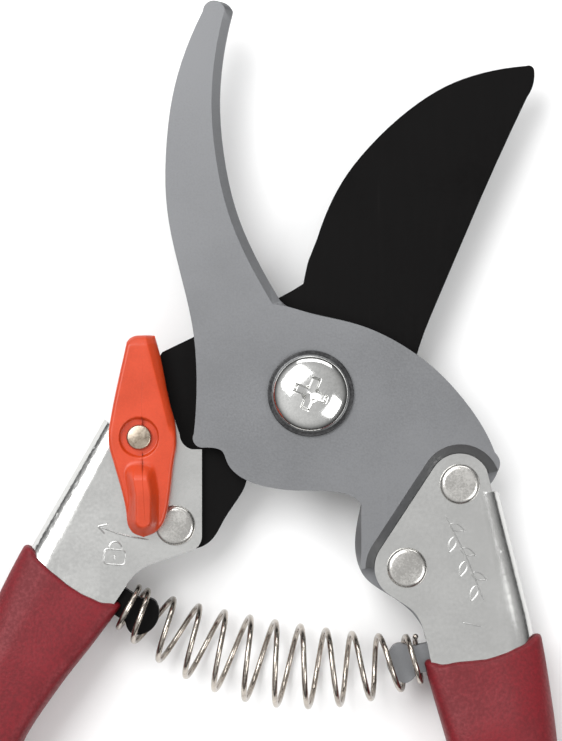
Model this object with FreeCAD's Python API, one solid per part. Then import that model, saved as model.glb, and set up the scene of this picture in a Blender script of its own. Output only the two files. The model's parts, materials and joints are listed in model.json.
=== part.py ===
"""Bypass pruning shears, lying open and flat: millimetres, +Z up, +Y towards the blade tips.

The origin is on the axis of the main pivot, in the plane that the shears rest on.
Handle shapes are laid out in a folded frame that both handles share: u runs from the pivot
down the axis of the closed shears, and w runs outwards from that axis.
"""
import FreeCAD, Part
import math
import os

from FreeCAD import Vector

# ---- heights (mm, above the plane that the shears rest on) -------------------------------
MID_Z = 8.2                  # middle plane of both handles and of both tangs
SHEET = 1.4                  # handle sheet thickness
TANG_HALF = 1.5              # half the blade thickness
CHANNEL_HALF = 1.55          # half the space between the two cheeks of a handle
CHEEK_HALF = CHANNEL_HALF + SHEET
PARTING_Z = MID_Z + TANG_HALF
RUN_GAP = 0.05               # gap between the two shearing faces
HOOK_Z = PARTING_Z + RUN_GAP
HOOK_THICK = 3.2
HOOK_TOP = HOOK_Z + HOOK_THICK
BEVEL_WIDE = 1.5             # bevel along the front of the hook's inner edge
BEVEL_DEEP = 0.6
RAMP_WIDE = 1.6              # plan width of the step between the head and its tang
RAMP_LOW = 11.2              # height at which that step begins, just above the handle's cheek
NECK_BEVEL = 1.1             # widest plan width of the bevel on the neck's inner edge
CHEEK_FRONT = MID_Z + CHEEK_HALF
CHEEK_BACK = MID_Z - CHEEK_HALF

# ---- how the shears open ----------------------------------------------------------------
AXIS_LEAN = 14.4             # degrees: the closed shears' axis leans this much from -Y to +X
OPENING = 45.0               # degrees between closed and open

# ---- main pivot --------------------------------------------------------------------------
PIVOT_HOLE_R = 4.0
BUSH_HOLE_R = 3.02
SCREW_R = 3.0
SCREW_HEAD_R = 7.0
SCREW_HEAD_TALL = 3.3
FRONT_WASHER_R = 7.7
FRONT_WASHER_THICK = 0.8
REAR_WASHER_R = 6.6
REAR_WASHER_THICK = 0.8
LOCK_WASHER_THICK = 1.2
NUT_ACROSS_FLATS = 10.0

# ---- rivets (x, y) -----------------------------------------------------------------------
RIGHT_UPPER_RIVET = (26.8, -16.3)
RIGHT_LOWER_RIVET = (17.3, -31.3)
LEFT_BLADE_RIVET = (-24.3, -23.7)
LEVER_PIVOT = (-30.6, -7.8)
RIVET_HEAD_R = 3.6
RIVET_FLAT_R = 2.6
RIVET_HEAD_TALL = 1.1
RIVET_SHANK_R = 2.0
LEVER_RIVET_R = 1.5
LEVER_RIVET_HEAD_R = 2.25

# ---- lock lever --------------------------------------------------------------------------
WAVE_WASHER_THICK = 0.4
LEVER_BOTTOM = CHEEK_FRONT + WAVE_WASHER_THICK
LEVER_TOP = LEVER_BOTTOM + 4.6
LEVER_TIP_BOTTOM = HOOK_TOP + 0.35
FINGER_TOP = LEVER_TOP + 2.6
LEVER_HOLE_R = LEVER_RIVET_R + 0.05
LEVER_RECESS_R = 3.5
LEVER_RECESS_DEEP = 1.1
LOCK_SWING = 38.0            # degrees from free to locked
DOG_R = 0.6
DOG_AT = (22.2, 163.9)       # distance from the pivot and bearing of the dog when locked

# ---- return spring -----------------------------------------------------------------------
SPRING_WIRE_R = 0.5
SPRING_END_R = 4.0           # mean coil radius at the ends
SPRING_MIDDLE_R = 7.4        # mean coil radius at the belly
SPRING_TURNS = 12
SPRING_DEAD_PITCH = 1.75     # pitch of the closed turn at each end
SPRING_LEFT = (-33.1, -38.3)
SPRING_RIGHT = (19.9, -47.8)
SPRING_SAG = 5.6

# ---- grips -------------------------------------------------------------------------------
VINYL = 1.25                 # thickness of the dipped skin
GRIP_CLEAR = 0.15            # gap between the dipped skin's inside and the handle
HANDLE_END_U = 127.0
RIGHT_EAR_LOW = -17.7        # y above which the cheeks are flat ears, with no fold behind them
LEFT_EAR_LOW = -4.6
# stations down a handle: u, half depth of the folded channel, outward reach of its round back
STATIONS = ((47.0, 2.95, 4.6), (51.5, 3.12, 4.8), (58.0, 4.1, 5.4), (68.0, 6.1, 6.3),
            (84.0, 6.4, 6.9), (102.0, 6.4, 6.9), (118.0, 6.15, 6.6), (131.0, 5.5, 5.8))
RIGHT_BACK = ((12.0, 28.6), (50.0, 28.3), (66.0, 27.0), (84.0, 24.2), (102.0, 20.6),
              (118.0, 17.2), (131.0, 15.0))
LEFT_BACK = ((12.0, 29.7), (50.0, 29.2), (66.0, 28.1), (84.0, 25.1), (102.0, 21.2),
             (118.0, 17.6), (131.0, 15.2))
RIGHT_INSIDE = ((51.5, 9.0), (66.0, 9.4), (84.0, 9.9), (102.0, 8.6), (118.0, 5.6),
                (140.0, 2.0))
LEFT_INSIDE = ((46.0, 10.9), (57.0, 11.8), (68.0, 13.2), (78.5, 13.9), (90.0, 12.2),
               (104.0, 8.0), (118.0, 5.6), (140.0, 2.0))

BEZIER_ROUND = 0.5523        # handle length that makes a cubic curve follow a quarter circle


def rotate(point, degrees):
    """Turn an (x, y) point about the pivot."""
    angle = math.radians(degrees)
    x, y = point
    return (x * math.cos(angle) - y * math.sin(angle), x * math.sin(angle) + y * math.cos(angle))


def right_handle_point(u, w):
    """Folded-frame point of the right handle, in the row frame."""
    lean = math.radians(AXIS_LEAN)
    return (u * math.sin(lean) + w * math.cos(lean), -u * math.cos(lean) + w * math.sin(lean))


def left_handle_point(u, w):
    """Folded-frame point of the left handle, swung open."""
    return rotate(right_handle_point(u, -w), -OPENING)


def polar(centre, radius, degrees):
    angle = math.radians(degrees)
    return (centre[0] + radius * math.cos(angle), centre[1] + radius * math.sin(angle))


def lifted(point, z):
    return Vector(point[0], point[1], z)


def interpolate(table, u):
    """Straight-line value of a table of (u, value) pairs."""
    for (u0, v0), (u1, v1) in zip(table, table[1:]):
        if u <= u1:
            return v0 + (v1 - v0) * (u - u0) / (u1 - u0)
    return table[-1][1]


def outline(z, start, *steps):
    """Closed wire at height z. A step is ("line", p), ("arc", middle, p) or ("curve", p, ...)."""
    here = lifted(start, z)
    first = here
    edges = []
    for step in steps:
        points = [lifted(point, z) for point in step[1:]]
        if step[0] == "line":
            edges.append(Part.LineSegment(here, points[0]).toShape())
        elif step[0] == "arc":
            edges.append(Part.Arc(here, points[0], points[1]).toShape())
        else:
            curve = Part.BSplineCurve()
            curve.interpolate([here] + points)
            edges.append(curve.toShape())
        here = points[-1]
    if here.distanceToPoint(first) > 1e-6:
        edges.append(Part.LineSegment(here, first).toShape())
    return Part.Wire(edges)


def plate(z_low, z_high, start, *steps):
    """Flat plate with the given outline between two heights."""
    face = Part.Face(outline(z_low, start, *steps))
    return face.extrude(Vector(0, 0, z_high - z_low))


def disc(centre, radius, z_low, z_high):
    return Part.makeCylinder(radius, z_high - z_low, lifted(centre, z_low))


def spring_direction(share):
    """Heading of the spring's sagging axis, in degrees, at a share of its length from the left."""
    chord, half_angle, _ = spring_arc()
    return chord + math.degrees(half_angle) * (2.0 * share - 1.0)


def spring_arc():
    """Chord heading in degrees, half the arc's angle in radians, and the arc's radius."""
    run = SPRING_RIGHT[0] - SPRING_LEFT[0]
    rise = SPRING_RIGHT[1] - SPRING_LEFT[1]
    half_chord = 0.5 * math.hypot(run, rise)
    radius = (half_chord ** 2 + SPRING_SAG ** 2) / (2.0 * SPRING_SAG)
    return math.degrees(math.atan2(rise, run)), math.asin(half_chord / radius), radius


def tongue(centre, heading, z_low, z_high):
    """Spring seat: a neck for the end coil, and a wider head that keeps the coil on."""
    def place(along, across):
        x, y = rotate((along, across), heading)
        return (centre[0] + x, centre[1] + y)

    return plate(z_low, z_high, place(-4.5, -2.5), ("line", place(1.4, -2.5)),
                 ("curve", place(2.4, -3.3), place(3.4, -3.6), place(4.4, -3.3)),
                 ("arc", place(6.2, 0.0), place(4.4, 3.3)),
                 ("curve", place(3.4, 3.6), place(2.4, 3.3), place(1.4, 2.5)),
                 ("line", place(-4.5, 2.5)))


# ---- blades ------------------------------------------------------------------------------
def counter_blade():
    """Hooked anvil blade: a hook, a round head, and a tang pressed back into the right handle."""
    def hook_outline(z, ramp, bevel):
        """Outline with its ramp line set out from the rivets, and its inner edge set back."""
        upper_round = 5.6 + ramp
        lower_round = 5.9 + ramp
        neck = NECK_BEVEL * ramp / RAMP_WIDE
        inner = set_back([(-5.5, 16.7), (-9.2, 23.2), (-13.0, 31.8), (-15.5, 42.5),
                          (-16.25, 52.2), (-15.7, 59.8), (-13.9, 68.4)], bevel)
        return outline(
            z, inner[-1],
            ("arc", (-16.6, 70.2), (-19.3, 68.4)),
            ("curve", (-22.2, 61.9), (-24.7, 53.3), (-25.8, 44.7), (-25.7, 33.0), (-23.2, 21.0),
             (-21.0, 11.0), (-20.4, 2.0), (-20.6, -4.0), (-20.9, -7.2)),
            ("arc", (-20.6, -9.2), (-19.3, -9.7)),
            ("curve", (-17.4, -9.75), (-15.9, -10.3), (-15.0, -12.2), (-12.9, -14.7), (-8.0, -16.7),
             (-1.9, -17.4), (4.5, -17.6), (7.4, -18.4), (9.1, -19.9)),
            ("curve", (8.3 + 0.7 * neck, -23.8), (8.0 + neck, -27.0), (8.9, -31.6)),
            ("line", polar(RIGHT_LOWER_RIVET, lower_round, 180.0)),
            ("arc", polar(RIGHT_LOWER_RIVET, lower_round, 164.0),
             polar(RIGHT_LOWER_RIVET, lower_round, 148.0)),
            ("line", polar(RIGHT_UPPER_RIVET, upper_round, 148.0)),
            ("arc", polar(RIGHT_UPPER_RIVET, upper_round, 84.0),
             polar(RIGHT_UPPER_RIVET, upper_round, 20.0)),
            ("curve", (33.9, -12.3), (33.0, -10.6)),
            ("curve", (31.2, -6.7), (27.4, -1.1), (22.9, 3.8), (17.3, 8.1), (8.2, 12.4),
             (-0.6, 14.5), (-4.0, 15.5), inner[0]),
            ("curve",) + tuple(inner[1:]))

    flat = Part.Face(hook_outline(HOOK_Z, 0.0, 0.0)).extrude(Vector(0, 0, RAMP_LOW - HOOK_Z))
    bevel_z = HOOK_TOP - BEVEL_DEEP
    bevel_ramp = RAMP_WIDE * (bevel_z - RAMP_LOW) / (HOOK_TOP - RAMP_LOW)
    middle = Part.makeLoft([hook_outline(RAMP_LOW, 0.0, 0.0),
                            hook_outline(bevel_z, bevel_ramp, 0.0)], True, True)
    top = Part.makeLoft([hook_outline(bevel_z, bevel_ramp, 0.0),
                         hook_outline(HOOK_TOP, RAMP_WIDE, BEVEL_WIDE)], True, True)
    flat = flat.fuse(middle).fuse(top)
    tang = plate(
        MID_Z - TANG_HALF, HOOK_Z, (33.0, -10.6),
        ("curve", (33.9, -12.3), (33.4, -14.8), (30.8, -17.9)),
        ("line", right_handle_point(28.0, 24.8)),
        ("line", right_handle_point(44.0, 24.0)),
        ("line", right_handle_point(53.0, 20.0)),
        ("line", right_handle_point(54.0, 11.5)),
        ("line", (21.8, -46.0)),
        ("curve", (20.4, -42.6), (18.4, -39.6), (15.4, -37.1), (12.2, -35.1), (9.7, -33.0),
         (8.7, -30.2)),
        ("line", (10.1, -26.9)),
        ("line", (19.4, -12.2)),
        ("arc", (24.5, -8.4), (31.6, -8.6)))
    tang = tang.fuse(tongue(SPRING_RIGHT, spring_direction(1.0) + 180.0,
                            MID_Z - TANG_HALF, PARTING_Z))
    blade = flat.fuse(tang)
    for centre, radius in (((0.0, 0.0), PIVOT_HOLE_R), (RIGHT_UPPER_RIVET, RIVET_SHANK_R),
                           (RIGHT_LOWER_RIVET, RIVET_SHANK_R)):
        blade = blade.cut(disc(centre, radius, 0.0, 20.0))
    return blade.removeSplitter()


def set_back(points, distance):
    """Move the points of an edge to the left of their direction of travel."""
    moved = []
    for index, (x, y) in enumerate(points):
        x0, y0 = points[max(index - 1, 0)]
        x1, y1 = points[min(index + 1, len(points) - 1)]
        length = math.hypot(x1 - x0, y1 - y0)
        moved.append((x - distance * (y1 - y0) / length, y + distance * (x1 - x0) / length))
    return moved


def cutting_blade():
    """Curved slicing blade, ground on its back face, with a tang inside the left handle."""
    def blade_outline(z, grind):
        """Outline whose cutting edge is moved in by the given grind width."""
        def edge(x, y, share):
            return (x + 0.80 * grind * share, y - 0.60 * grind * share)

        return outline(
            z, (40.3, 58.1),
            ("arc", (39.9, 58.8), edge(38.9, 58.95, 0.05)),
            ("curve", edge(30.8, 57.6, 0.45), edge(24.9, 55.5, 0.8), edge(18.0, 51.2, 1.0),
             edge(10.9, 44.7, 1.0), edge(5.8, 38.2, 1.0), edge(2.6, 31.8, 1.0),
             edge(1.2, 27.8, 0.8)),
            ("curve", (0.1, 25.0), (-0.9, 21.6), (-1.3, 19.7)),
            ("line", (-3.4, 18.4)),
            ("line", (-6.2, 16.9)),
            ("curve", (-9.5, 12.8), (-13.5, 11.2), (-20.9, 10.2)),
            ("line", (-26.7, 7.4)),
            ("line", (-33.0, -3.5)),
            ("line", left_handle_point(24.0, 26.0)),
            ("line", left_handle_point(44.0, 25.2)),
            ("line", left_handle_point(52.0, 21.0)),
            ("line", left_handle_point(53.0, 14.0)),
            ("line", (-34.0, -34.6)),
            ("line", (-32.2, -32.4)),
            ("line", (-28.8, -30.1)),
            ("line", (-22.4, -27.9)),
            ("curve", (-19.8, -27.7), (-17.7, -26.3), (-15.8, -23.2), (-13.2, -19.2),
             (-12.0, -17.2), (-11.4, -14.0)),
            ("arc", polar((0, 0), 17.0, 285.0), polar((0, 0), 18.2, 345.0)),
            ("curve", (19.5, 8.1), (23.8, 18.9), (31.1, 36.1), (39.0, 53.3)),
            ("curve", (40.3, 56.6), (40.3, 58.1)))

    land = 0.3
    back = MID_Z - TANG_HALF
    front = Part.Face(blade_outline(PARTING_Z - land, 0.0)).extrude(Vector(0, 0, land))
    ground = Part.makeLoft([blade_outline(back, 6.5), blade_outline(PARTING_Z - land, 0.0)],
                           True, True)
    blade = front.fuse(ground)
    blade = blade.fuse(tongue(SPRING_LEFT, spring_direction(0.0), back, PARTING_Z))
    for centre, radius in (((0.0, 0.0), PIVOT_HOLE_R + 0.05), (LEFT_BLADE_RIVET, RIVET_SHANK_R),
                           (LEVER_PIVOT, LEVER_RIVET_R)):
        blade = blade.cut(disc(centre, radius, 0.0, 20.0))
    return blade.removeSplitter()


# ---- handles and grips -------------------------------------------------------------------
def channel_section(to_row, u, back, half_depth, reach, inside):
    """Closed section across a handle: flat cheeks joined by a rounded back."""
    def place(w, height):
        return lifted(to_row(u, w), MID_Z + height)

    pull = BEZIER_ROUND
    edges = [Part.LineSegment(place(inside, half_depth), place(back - reach, half_depth)).toShape()]
    for sign in (1.0, -1.0):
        poles = [place(back - reach, sign * half_depth),
                 place(back - reach + pull * reach, sign * half_depth),
                 place(back, sign * pull * half_depth), place(back, 0.0)]
        if sign < 0:
            poles.reverse()
        curve = Part.BezierCurve()
        curve.setPoles(poles)
        edges.append(curve.toShape())
    edges.append(Part.LineSegment(place(back - reach, -half_depth),
                                  place(inside, -half_depth)).toShape())
    edges.append(Part.LineSegment(place(inside, -half_depth), place(inside, half_depth)).toShape())
    return Part.Wire(edges)


def channel_envelope(to_row, back_table, shrink):
    """Body that fills a folded channel, shrunk all round by the given amount."""
    def section(u, half_depth, reach):
        back = interpolate(back_table, u) - shrink
        return channel_section(to_row, u, back, half_depth - shrink, reach - shrink, -12.0)

    top_u, top_half, top_reach = 12.0, CHEEK_HALF, 2.95
    upper = Part.makeLoft([section(top_u, top_half, top_reach), section(*STATIONS[0])], True, True)
    lower = Part.makeLoft([section(*station) for station in STATIONS], True, False)
    return upper.fuse(lower)


def grip_section(to_row, u, back, half_depth, reach, inside, inner_round):
    """Closed section of a dipped grip: round back, flat cheeks and a softly rounded inner side."""
    def place(w, height):
        return lifted(to_row(u, w), MID_Z + height)

    def quarter(w_flat, w_side, sign, height, rounding):
        toward = 1.0 if w_side > w_flat else -1.0
        pull = BEZIER_ROUND
        side_height = height - rounding
        poles = [place(w_flat, sign * height),
                 place(w_flat + toward * pull * abs(w_side - w_flat), sign * height),
                 place(w_side, sign * (side_height + pull * rounding)),
                 place(w_side, sign * side_height)]
        if sign * toward < 0:
            poles.reverse()
        curve = Part.BezierCurve()
        curve.setPoles(poles)
        return curve.toShape()

    def straight(start, end):
        return Part.LineSegment(start, end).toShape()

    return Part.Wire([
        straight(place(inside + inner_round, half_depth), place(back - reach, half_depth)),
        quarter(back - reach, back, 1.0, half_depth, half_depth - 0.2),
        straight(place(back, 0.2), place(back, -0.2)),
        quarter(back - reach, back, -1.0, half_depth, half_depth - 0.2),
        straight(place(back - reach, -half_depth), place(inside + inner_round, -half_depth)),
        quarter(inside + inner_round, inside, -1.0, half_depth, inner_round),
        straight(place(inside, inner_round - half_depth), place(inside, half_depth - inner_round)),
        quarter(inside + inner_round, inside, 1.0, half_depth, inner_round)])


def grip_body(to_row, back_table, inside_table, skin, softness):
    """Shape of the covered part of a handle, grown by a skin, with its inner edges softened."""
    def section(u, half_depth, reach):
        back = interpolate(back_table, u) + skin
        inside = interpolate(inside_table, max(u, inside_table[0][0])) - skin
        inner_round = min(softness, half_depth - 0.6)
        return grip_section(to_row, u, back, half_depth + skin, reach + skin, inside, inner_round)

    upper = Part.makeLoft([section(STATIONS[0][0] - 9.0, CHEEK_HALF, 3.6), section(*STATIONS[0])],
                          True, True)
    lower = Part.makeLoft([section(*station) for station in STATIONS], True, False)
    return upper.fuse(lower).common(end_cap_block(to_row, back_table, inside_table, skin))


def end_cap_block(to_row, back_table, inside_table, margin):
    """Plan shape of a handle's lower half, with a rounded end, grown by a margin."""
    end = HANDLE_END_U + margin
    wide = interpolate(back_table, end) + margin + 3.0
    narrow = interpolate(inside_table, end) - margin
    middle = 0.5 * (interpolate(back_table, end) + narrow)
    return plate(
        MID_Z - 12.0, MID_Z + 12.0, to_row(5.0, 45.0),
        ("line", to_row(end - 22.0, 45.0)),
        ("line", to_row(end - 11.0, wide - 2.6)),
        ("curve", to_row(end - 5.0, wide - 3.6), to_row(end - 1.0, wide - 7.4),
         to_row(end, middle), to_row(end - 1.4, narrow + 3.0), to_row(end - 6.0, narrow + 0.2)),
        ("line", to_row(end - 14.0, narrow - 12.0)),
        ("line", to_row(5.0, -30.0)))


def right_plan():
    """Plan outline of the right handle: two rivet ears, then the grip's inner edge."""
    inside = [right_handle_point(u, w) for u, w in RIGHT_INSIDE]
    return plate(
        MID_Z - 12.0, MID_Z + 12.0, (40.0, RIGHT_EAR_LOW),
        ("line", (32.7, RIGHT_EAR_LOW)),
        ("line", (31.6, -13.6)),
        ("arc", polar(RIGHT_UPPER_RIVET, 5.5, 95.0), polar(RIGHT_UPPER_RIVET, 5.5, 148.0)),
        ("line", polar(RIGHT_LOWER_RIVET, 5.8, 148.0)),
        ("arc", polar(RIGHT_LOWER_RIVET, 5.8, 185.0), polar(RIGHT_LOWER_RIVET, 5.8, 232.0)),
        ("curve", (16.4, -37.6), (18.6, -39.3), (20.2, -42.2), inside[0]),
        ("curve",) + tuple(inside[1:]),
        ("line", right_handle_point(140.0, 45.0)))


def left_plan():
    """Plan outline of the left handle: an ear under the lever, the stop notch, the inner edge."""
    inside = [left_handle_point(u, w) for u, w in LEFT_INSIDE]
    return plate(
        MID_Z - 12.0, MID_Z + 12.0, (-41.5, -4.6),
        ("line", (-37.3, -4.6)),
        ("line", (-36.0, -5.6)),
        ("arc", (-31.5, -0.9), (-25.2, -2.2)),
        ("line", (-23.5, -7.4)),
        ("arc", (-22.75, -9.2), (-21.3, -10.05)),
        ("line", (-19.5, -10.05)),
        ("line", (-19.5, -25.4)),
        ("arc", (-20.3, -27.6), (-22.2, -28.5)),
        ("line", (-28.6, -30.7)),
        ("curve", (-31.9, -32.9), inside[0]),
        ("curve",) + tuple(inside[1:]),
        ("line", left_handle_point(140.0, 45.0)))


def flat_ears(plan, ear_low):
    """The parts of both cheeks above the fold, which stay flat to their edges."""
    above = Part.makeBox(120.0, 60.0, 24.0, Vector(-60.0, ear_low, MID_Z - 12.0))
    between = Part.makeBox(120.0, 60.0, 2.0 * CHANNEL_HALF,
                           Vector(-60.0, ear_low, MID_Z - CHANNEL_HALF))
    sheets = Part.makeBox(120.0, 60.0, 2.0 * CHEEK_HALF,
                          Vector(-60.0, ear_low, MID_Z - CHEEK_HALF))
    return above, plan.common(sheets).cut(between)


def handle_and_grip(to_row, back_table, inside_table, plan, holes, dip_line, ear_low):
    """Folded steel handle, and the vinyl that is dipped over its lower part."""
    end_cap = end_cap_block(to_row, back_table, inside_table, 0.0)
    filled = channel_envelope(to_row, back_table, 0.0).common(plan).common(end_cap)
    above, ears = flat_ears(plan, ear_low)
    handle = filled.cut(channel_envelope(to_row, back_table, SHEET)).cut(above).fuse(ears)
    for centre, radius in holes:
        handle = handle.cut(disc(centre, radius, 0.0, 20.0))
    below = plate(MID_Z - 12.0, MID_Z + 12.0, dip_line[0], ("curve",) + tuple(dip_line[1:]),
                  ("line", to_row(56.0, -30.0)), ("line", to_row(150.0, -30.0)),
                  ("line", to_row(150.0, 60.0)), ("line", to_row(50.0, 60.0)))
    grip = grip_body(to_row, back_table, inside_table, VINYL, 2.6).common(below)
    grip = grip.cut(grip_body(to_row, back_table, inside_table, GRIP_CLEAR, 0.3))
    return handle.removeSplitter(), grip


def right_handle_and_grip():
    dip_line = [(43.0, -43.2), (41.0, -43.4), (38.3, -45.1), (32.8, -47.3), (27.2, -48.1),
                (23.6, -48.6), (21.6, -47.9), (19.5, -47.4)]
    holes = ((RIGHT_UPPER_RIVET, RIVET_SHANK_R), (RIGHT_LOWER_RIVET, RIVET_SHANK_R))
    return handle_and_grip(right_handle_point, RIGHT_BACK, RIGHT_INSIDE, right_plan(), holes,
                           dip_line, RIGHT_EAR_LOW)


def left_handle_and_grip():
    dip_line = [(-53.0, -26.6), (-50.6, -27.6), (-49.2, -29.6), (-45.0, -33.2), (-40.8, -36.1),
                (-37.1, -37.8), (-34.9, -37.9), (-31.5, -37.2)]
    holes = ((LEVER_PIVOT, LEVER_RIVET_R), (LEFT_BLADE_RIVET, RIVET_SHANK_R))
    return handle_and_grip(left_handle_point, LEFT_BACK, LEFT_INSIDE, left_plan(), holes,
                           dip_line, LEFT_EAR_LOW)


# ---- rivets and pivot --------------------------------------------------------------------
def turned(centre, profile):
    """Solid of revolution about a vertical line through centre, from (radius, z) points."""
    points = [Vector(centre[0] + radius, centre[1], z) for radius, z in profile]
    face = Part.Face(Part.makePolygon(points + points[:1]))
    return face.revolve(lifted(centre, 0.0), Vector(0, 0, 1), 360.0)


def domed_head(centre, radius, flat_radius, z_base, tall, steps):
    """Low dome, from a short cylindrical rim up to a flat top, as a turned solid."""
    rim = 0.3 * tall
    profile = [(0.0, z_base), (radius, z_base)]
    for step in range(steps + 1):
        angle = 0.5 * math.pi * step / steps
        profile.append((flat_radius + (radius - flat_radius) * math.cos(angle),
                        z_base + rim + (tall - rim) * math.sin(angle)))
    profile.append((0.0, z_base + tall))
    return turned(centre, profile)


def cheek_rivet(centre):
    """Rivet through both cheeks of a handle and the tang between them."""
    head = domed_head(centre, RIVET_HEAD_R, RIVET_FLAT_R, CHEEK_FRONT, RIVET_HEAD_TALL, 6)
    shank = disc(centre, RIVET_SHANK_R, CHEEK_BACK, CHEEK_FRONT)
    tail = domed_head(centre, 3.2, 2.2, CHEEK_FRONT, 0.9, 6)
    tail = tail.mirror(Vector(0, 0, MID_Z), Vector(0, 0, 1))
    return head.fuse(shank).fuse(tail).removeSplitter()


def lever_rivet():
    """Shouldered rivet that the lock lever turns on."""
    floor = LEVER_TOP - LEVER_RECESS_DEEP
    head = domed_head(LEVER_PIVOT, LEVER_RIVET_HEAD_R, 1.9, floor + 0.05, 0.8, 4)
    shank = disc(LEVER_PIVOT, LEVER_RIVET_R, CHEEK_BACK, floor + 0.05)
    tail = domed_head(LEVER_PIVOT, 2.6, 1.7, CHEEK_FRONT, 0.8, 6)
    tail = tail.mirror(Vector(0, 0, MID_Z), Vector(0, 0, 1))
    return head.fuse(shank).fuse(tail).removeSplitter()


def pivot_screw():
    """Cross-recessed truss-head screw that goes through both blades."""
    base = HOOK_TOP + FRONT_WASHER_THICK
    profile = [(0.0, 0.0), (SCREW_R - 0.3, 0.0), (SCREW_R, 0.3), (SCREW_R, base),
               (SCREW_HEAD_R, base), (SCREW_HEAD_R, base + 0.5)]
    steps = 10
    for step in range(1, steps + 1):
        angle = 0.5 * math.pi * step / steps
        profile.append((SCREW_HEAD_R * math.cos(angle),
                        base + 0.5 + (SCREW_HEAD_TALL - 0.5) * math.sin(angle)))
    screw = turned((0.0, 0.0), profile)
    top = base + SCREW_HEAD_TALL
    for quarter in range(2):
        slot = Part.makeBox(6.0, 1.5, 2.2, Vector(-3.0, -0.75, top - 1.7))
        slot.rotate(Vector(0, 0, 0), Vector(0, 0, 1), 68.0 + 90.0 * quarter)
        screw = screw.cut(slot)
    return screw.cut(Part.makeCone(0.6, 1.9, 2.2, Vector(0, 0, top - 2.1)))


def ring(centre, inner, outer, z_low, z_high):
    return disc(centre, outer, z_low, z_high).cut(disc(centre, inner, z_low, z_high))


def pivot_bush():
    """Sleeve that both blades turn on, so that the nut can be tightened without binding them."""
    return ring((0.0, 0.0), BUSH_HOLE_R, PIVOT_HOLE_R, MID_Z - TANG_HALF - RUN_GAP, HOOK_TOP)


def nut_stack():
    """Heights of the faces behind the blade, from the blade down to the nut."""
    washer_top = MID_Z - TANG_HALF - RUN_GAP
    washer_low = washer_top - REAR_WASHER_THICK
    return washer_top, washer_low, washer_low - LOCK_WASHER_THICK


def rear_washer():
    top, low, _ = nut_stack()
    return ring((0.0, 0.0), BUSH_HOLE_R, REAR_WASHER_R, low, top)


def lock_washer():
    """Split spring washer, pressed flat."""
    _, top, low = nut_stack()
    washer = ring((0.0, 0.0), BUSH_HOLE_R, 5.4, low, top)
    gap = Part.makeBox(4.0, 0.8, 3.0, Vector(2.5, -0.4, low - 0.5))
    gap.rotate(Vector(0, 0, 0), Vector(0, 0, 1), 30.0)
    return washer.cut(gap)


def pivot_nut():
    """Plain hexagon nut, chamfered on the side that the shears rest on."""
    top = nut_stack()[2]
    across_corners = NUT_ACROSS_FLATS / math.sqrt(3.0)
    corners = [lifted(polar((0, 0), across_corners, 60.0 * k + 10.0), 0.0) for k in range(6)]
    nut = Part.Face(Part.makePolygon(corners + corners[:1])).extrude(Vector(0, 0, top))
    rounding = turned((0.0, 0.0), [(0.0, 0.0), (4.75, 0.0), (5.9, 0.66), (5.9, top), (0.0, top)])
    return nut.common(rounding).cut(disc((0.0, 0.0), SCREW_R, 0.0, top))


def front_washer():
    return ring((0.0, 0.0), BUSH_HOLE_R, FRONT_WASHER_R, HOOK_TOP, HOOK_TOP + FRONT_WASHER_THICK)


def wave_washer():
    """Thin washer that gives the lock lever its friction."""
    return ring(LEVER_PIVOT, LEVER_HOLE_R, 3.4, CHEEK_FRONT, LEVER_BOTTOM - 0.02)


# ---- lock lever --------------------------------------------------------------------------
def lock_lever():
    """Moulded lever: a tapered nose, a broad middle on the rivet, and a raised thumb finger."""
    steps = (
        ("arc", (-31.4, 10.35), (-28.3, 10.2)),
        ("line", (-27.0, 7.2)),
        ("line", (-25.2, -1.8)),
        ("curve", (-24.2, -5.8), (-24.0, -9.0), (-24.5, -12.6)),
        ("line", (-25.4, -19.9)),
        ("curve", (-26.0, -22.6), (-27.6, -24.6), (-29.8, -25.6)),
        ("curve", (-31.6, -24.8), (-32.7, -23.0), (-32.9, -21.0)),
        ("line", (-35.1, -12.4)),
        ("curve", (-35.9, -9.6), (-36.1, -7.6), (-35.7, -4.6)))
    body = plate(LEVER_BOTTOM, LEVER_TOP, (-32.6, 9.4), *steps)
    body = body.cut(nose_relief())
    finger = plate(LEVER_BOTTOM, FINGER_TOP, (-32.7, -13.2),
                   ("curve", (-31.6, -12.2), (-29.9, -11.9), (-28.7, -13.2)),
                   ("line", (-26.4, -20.4)),
                   ("curve", (-26.5, -22.8), (-27.8, -24.4), (-29.8, -25.3)),
                   ("curve", (-31.5, -24.5), (-32.5, -22.8), (-32.7, -20.8)))
    body = body.fuse(finger).cut(side_bevel())
    body = body.cut(disc(LEVER_PIVOT, LEVER_HOLE_R, 0.0, 30.0))
    body = body.cut(disc(LEVER_PIVOT, LEVER_RECESS_R, LEVER_TOP - LEVER_RECESS_DEEP, 30.0))
    body = body.cut(disc(LEFT_BLADE_RIVET, RIVET_HEAD_R + 0.35, LEVER_BOTTOM - 1.0,
                         CHEEK_FRONT + RIVET_HEAD_TALL + 0.35))
    dog_centre = unlocked(polar((0.0, 0.0), DOG_AT[0], DOG_AT[1]))
    return body.fuse(disc(dog_centre, DOG_R, LEVER_BOTTOM + 0.2, LEVER_TIP_BOTTOM + 0.5))


def unlocked(point):
    """Where a point of the locked lever lies when the lever is swung back."""
    x, y = rotate((point[0] - LEVER_PIVOT[0], point[1] - LEVER_PIVOT[1]), LOCK_SWING)
    return (x + LEVER_PIVOT[0], y + LEVER_PIVOT[1])


def nose_relief():
    """Space under the nose, which passes over the front of the counter-blade's heel."""
    return Part.makeBox(16.0, 12.0, LEVER_TIP_BOTTOM - LEVER_BOTTOM + 1.0,
                        Vector(-38.0, 0.4, LEVER_BOTTOM - 1.0))


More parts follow.
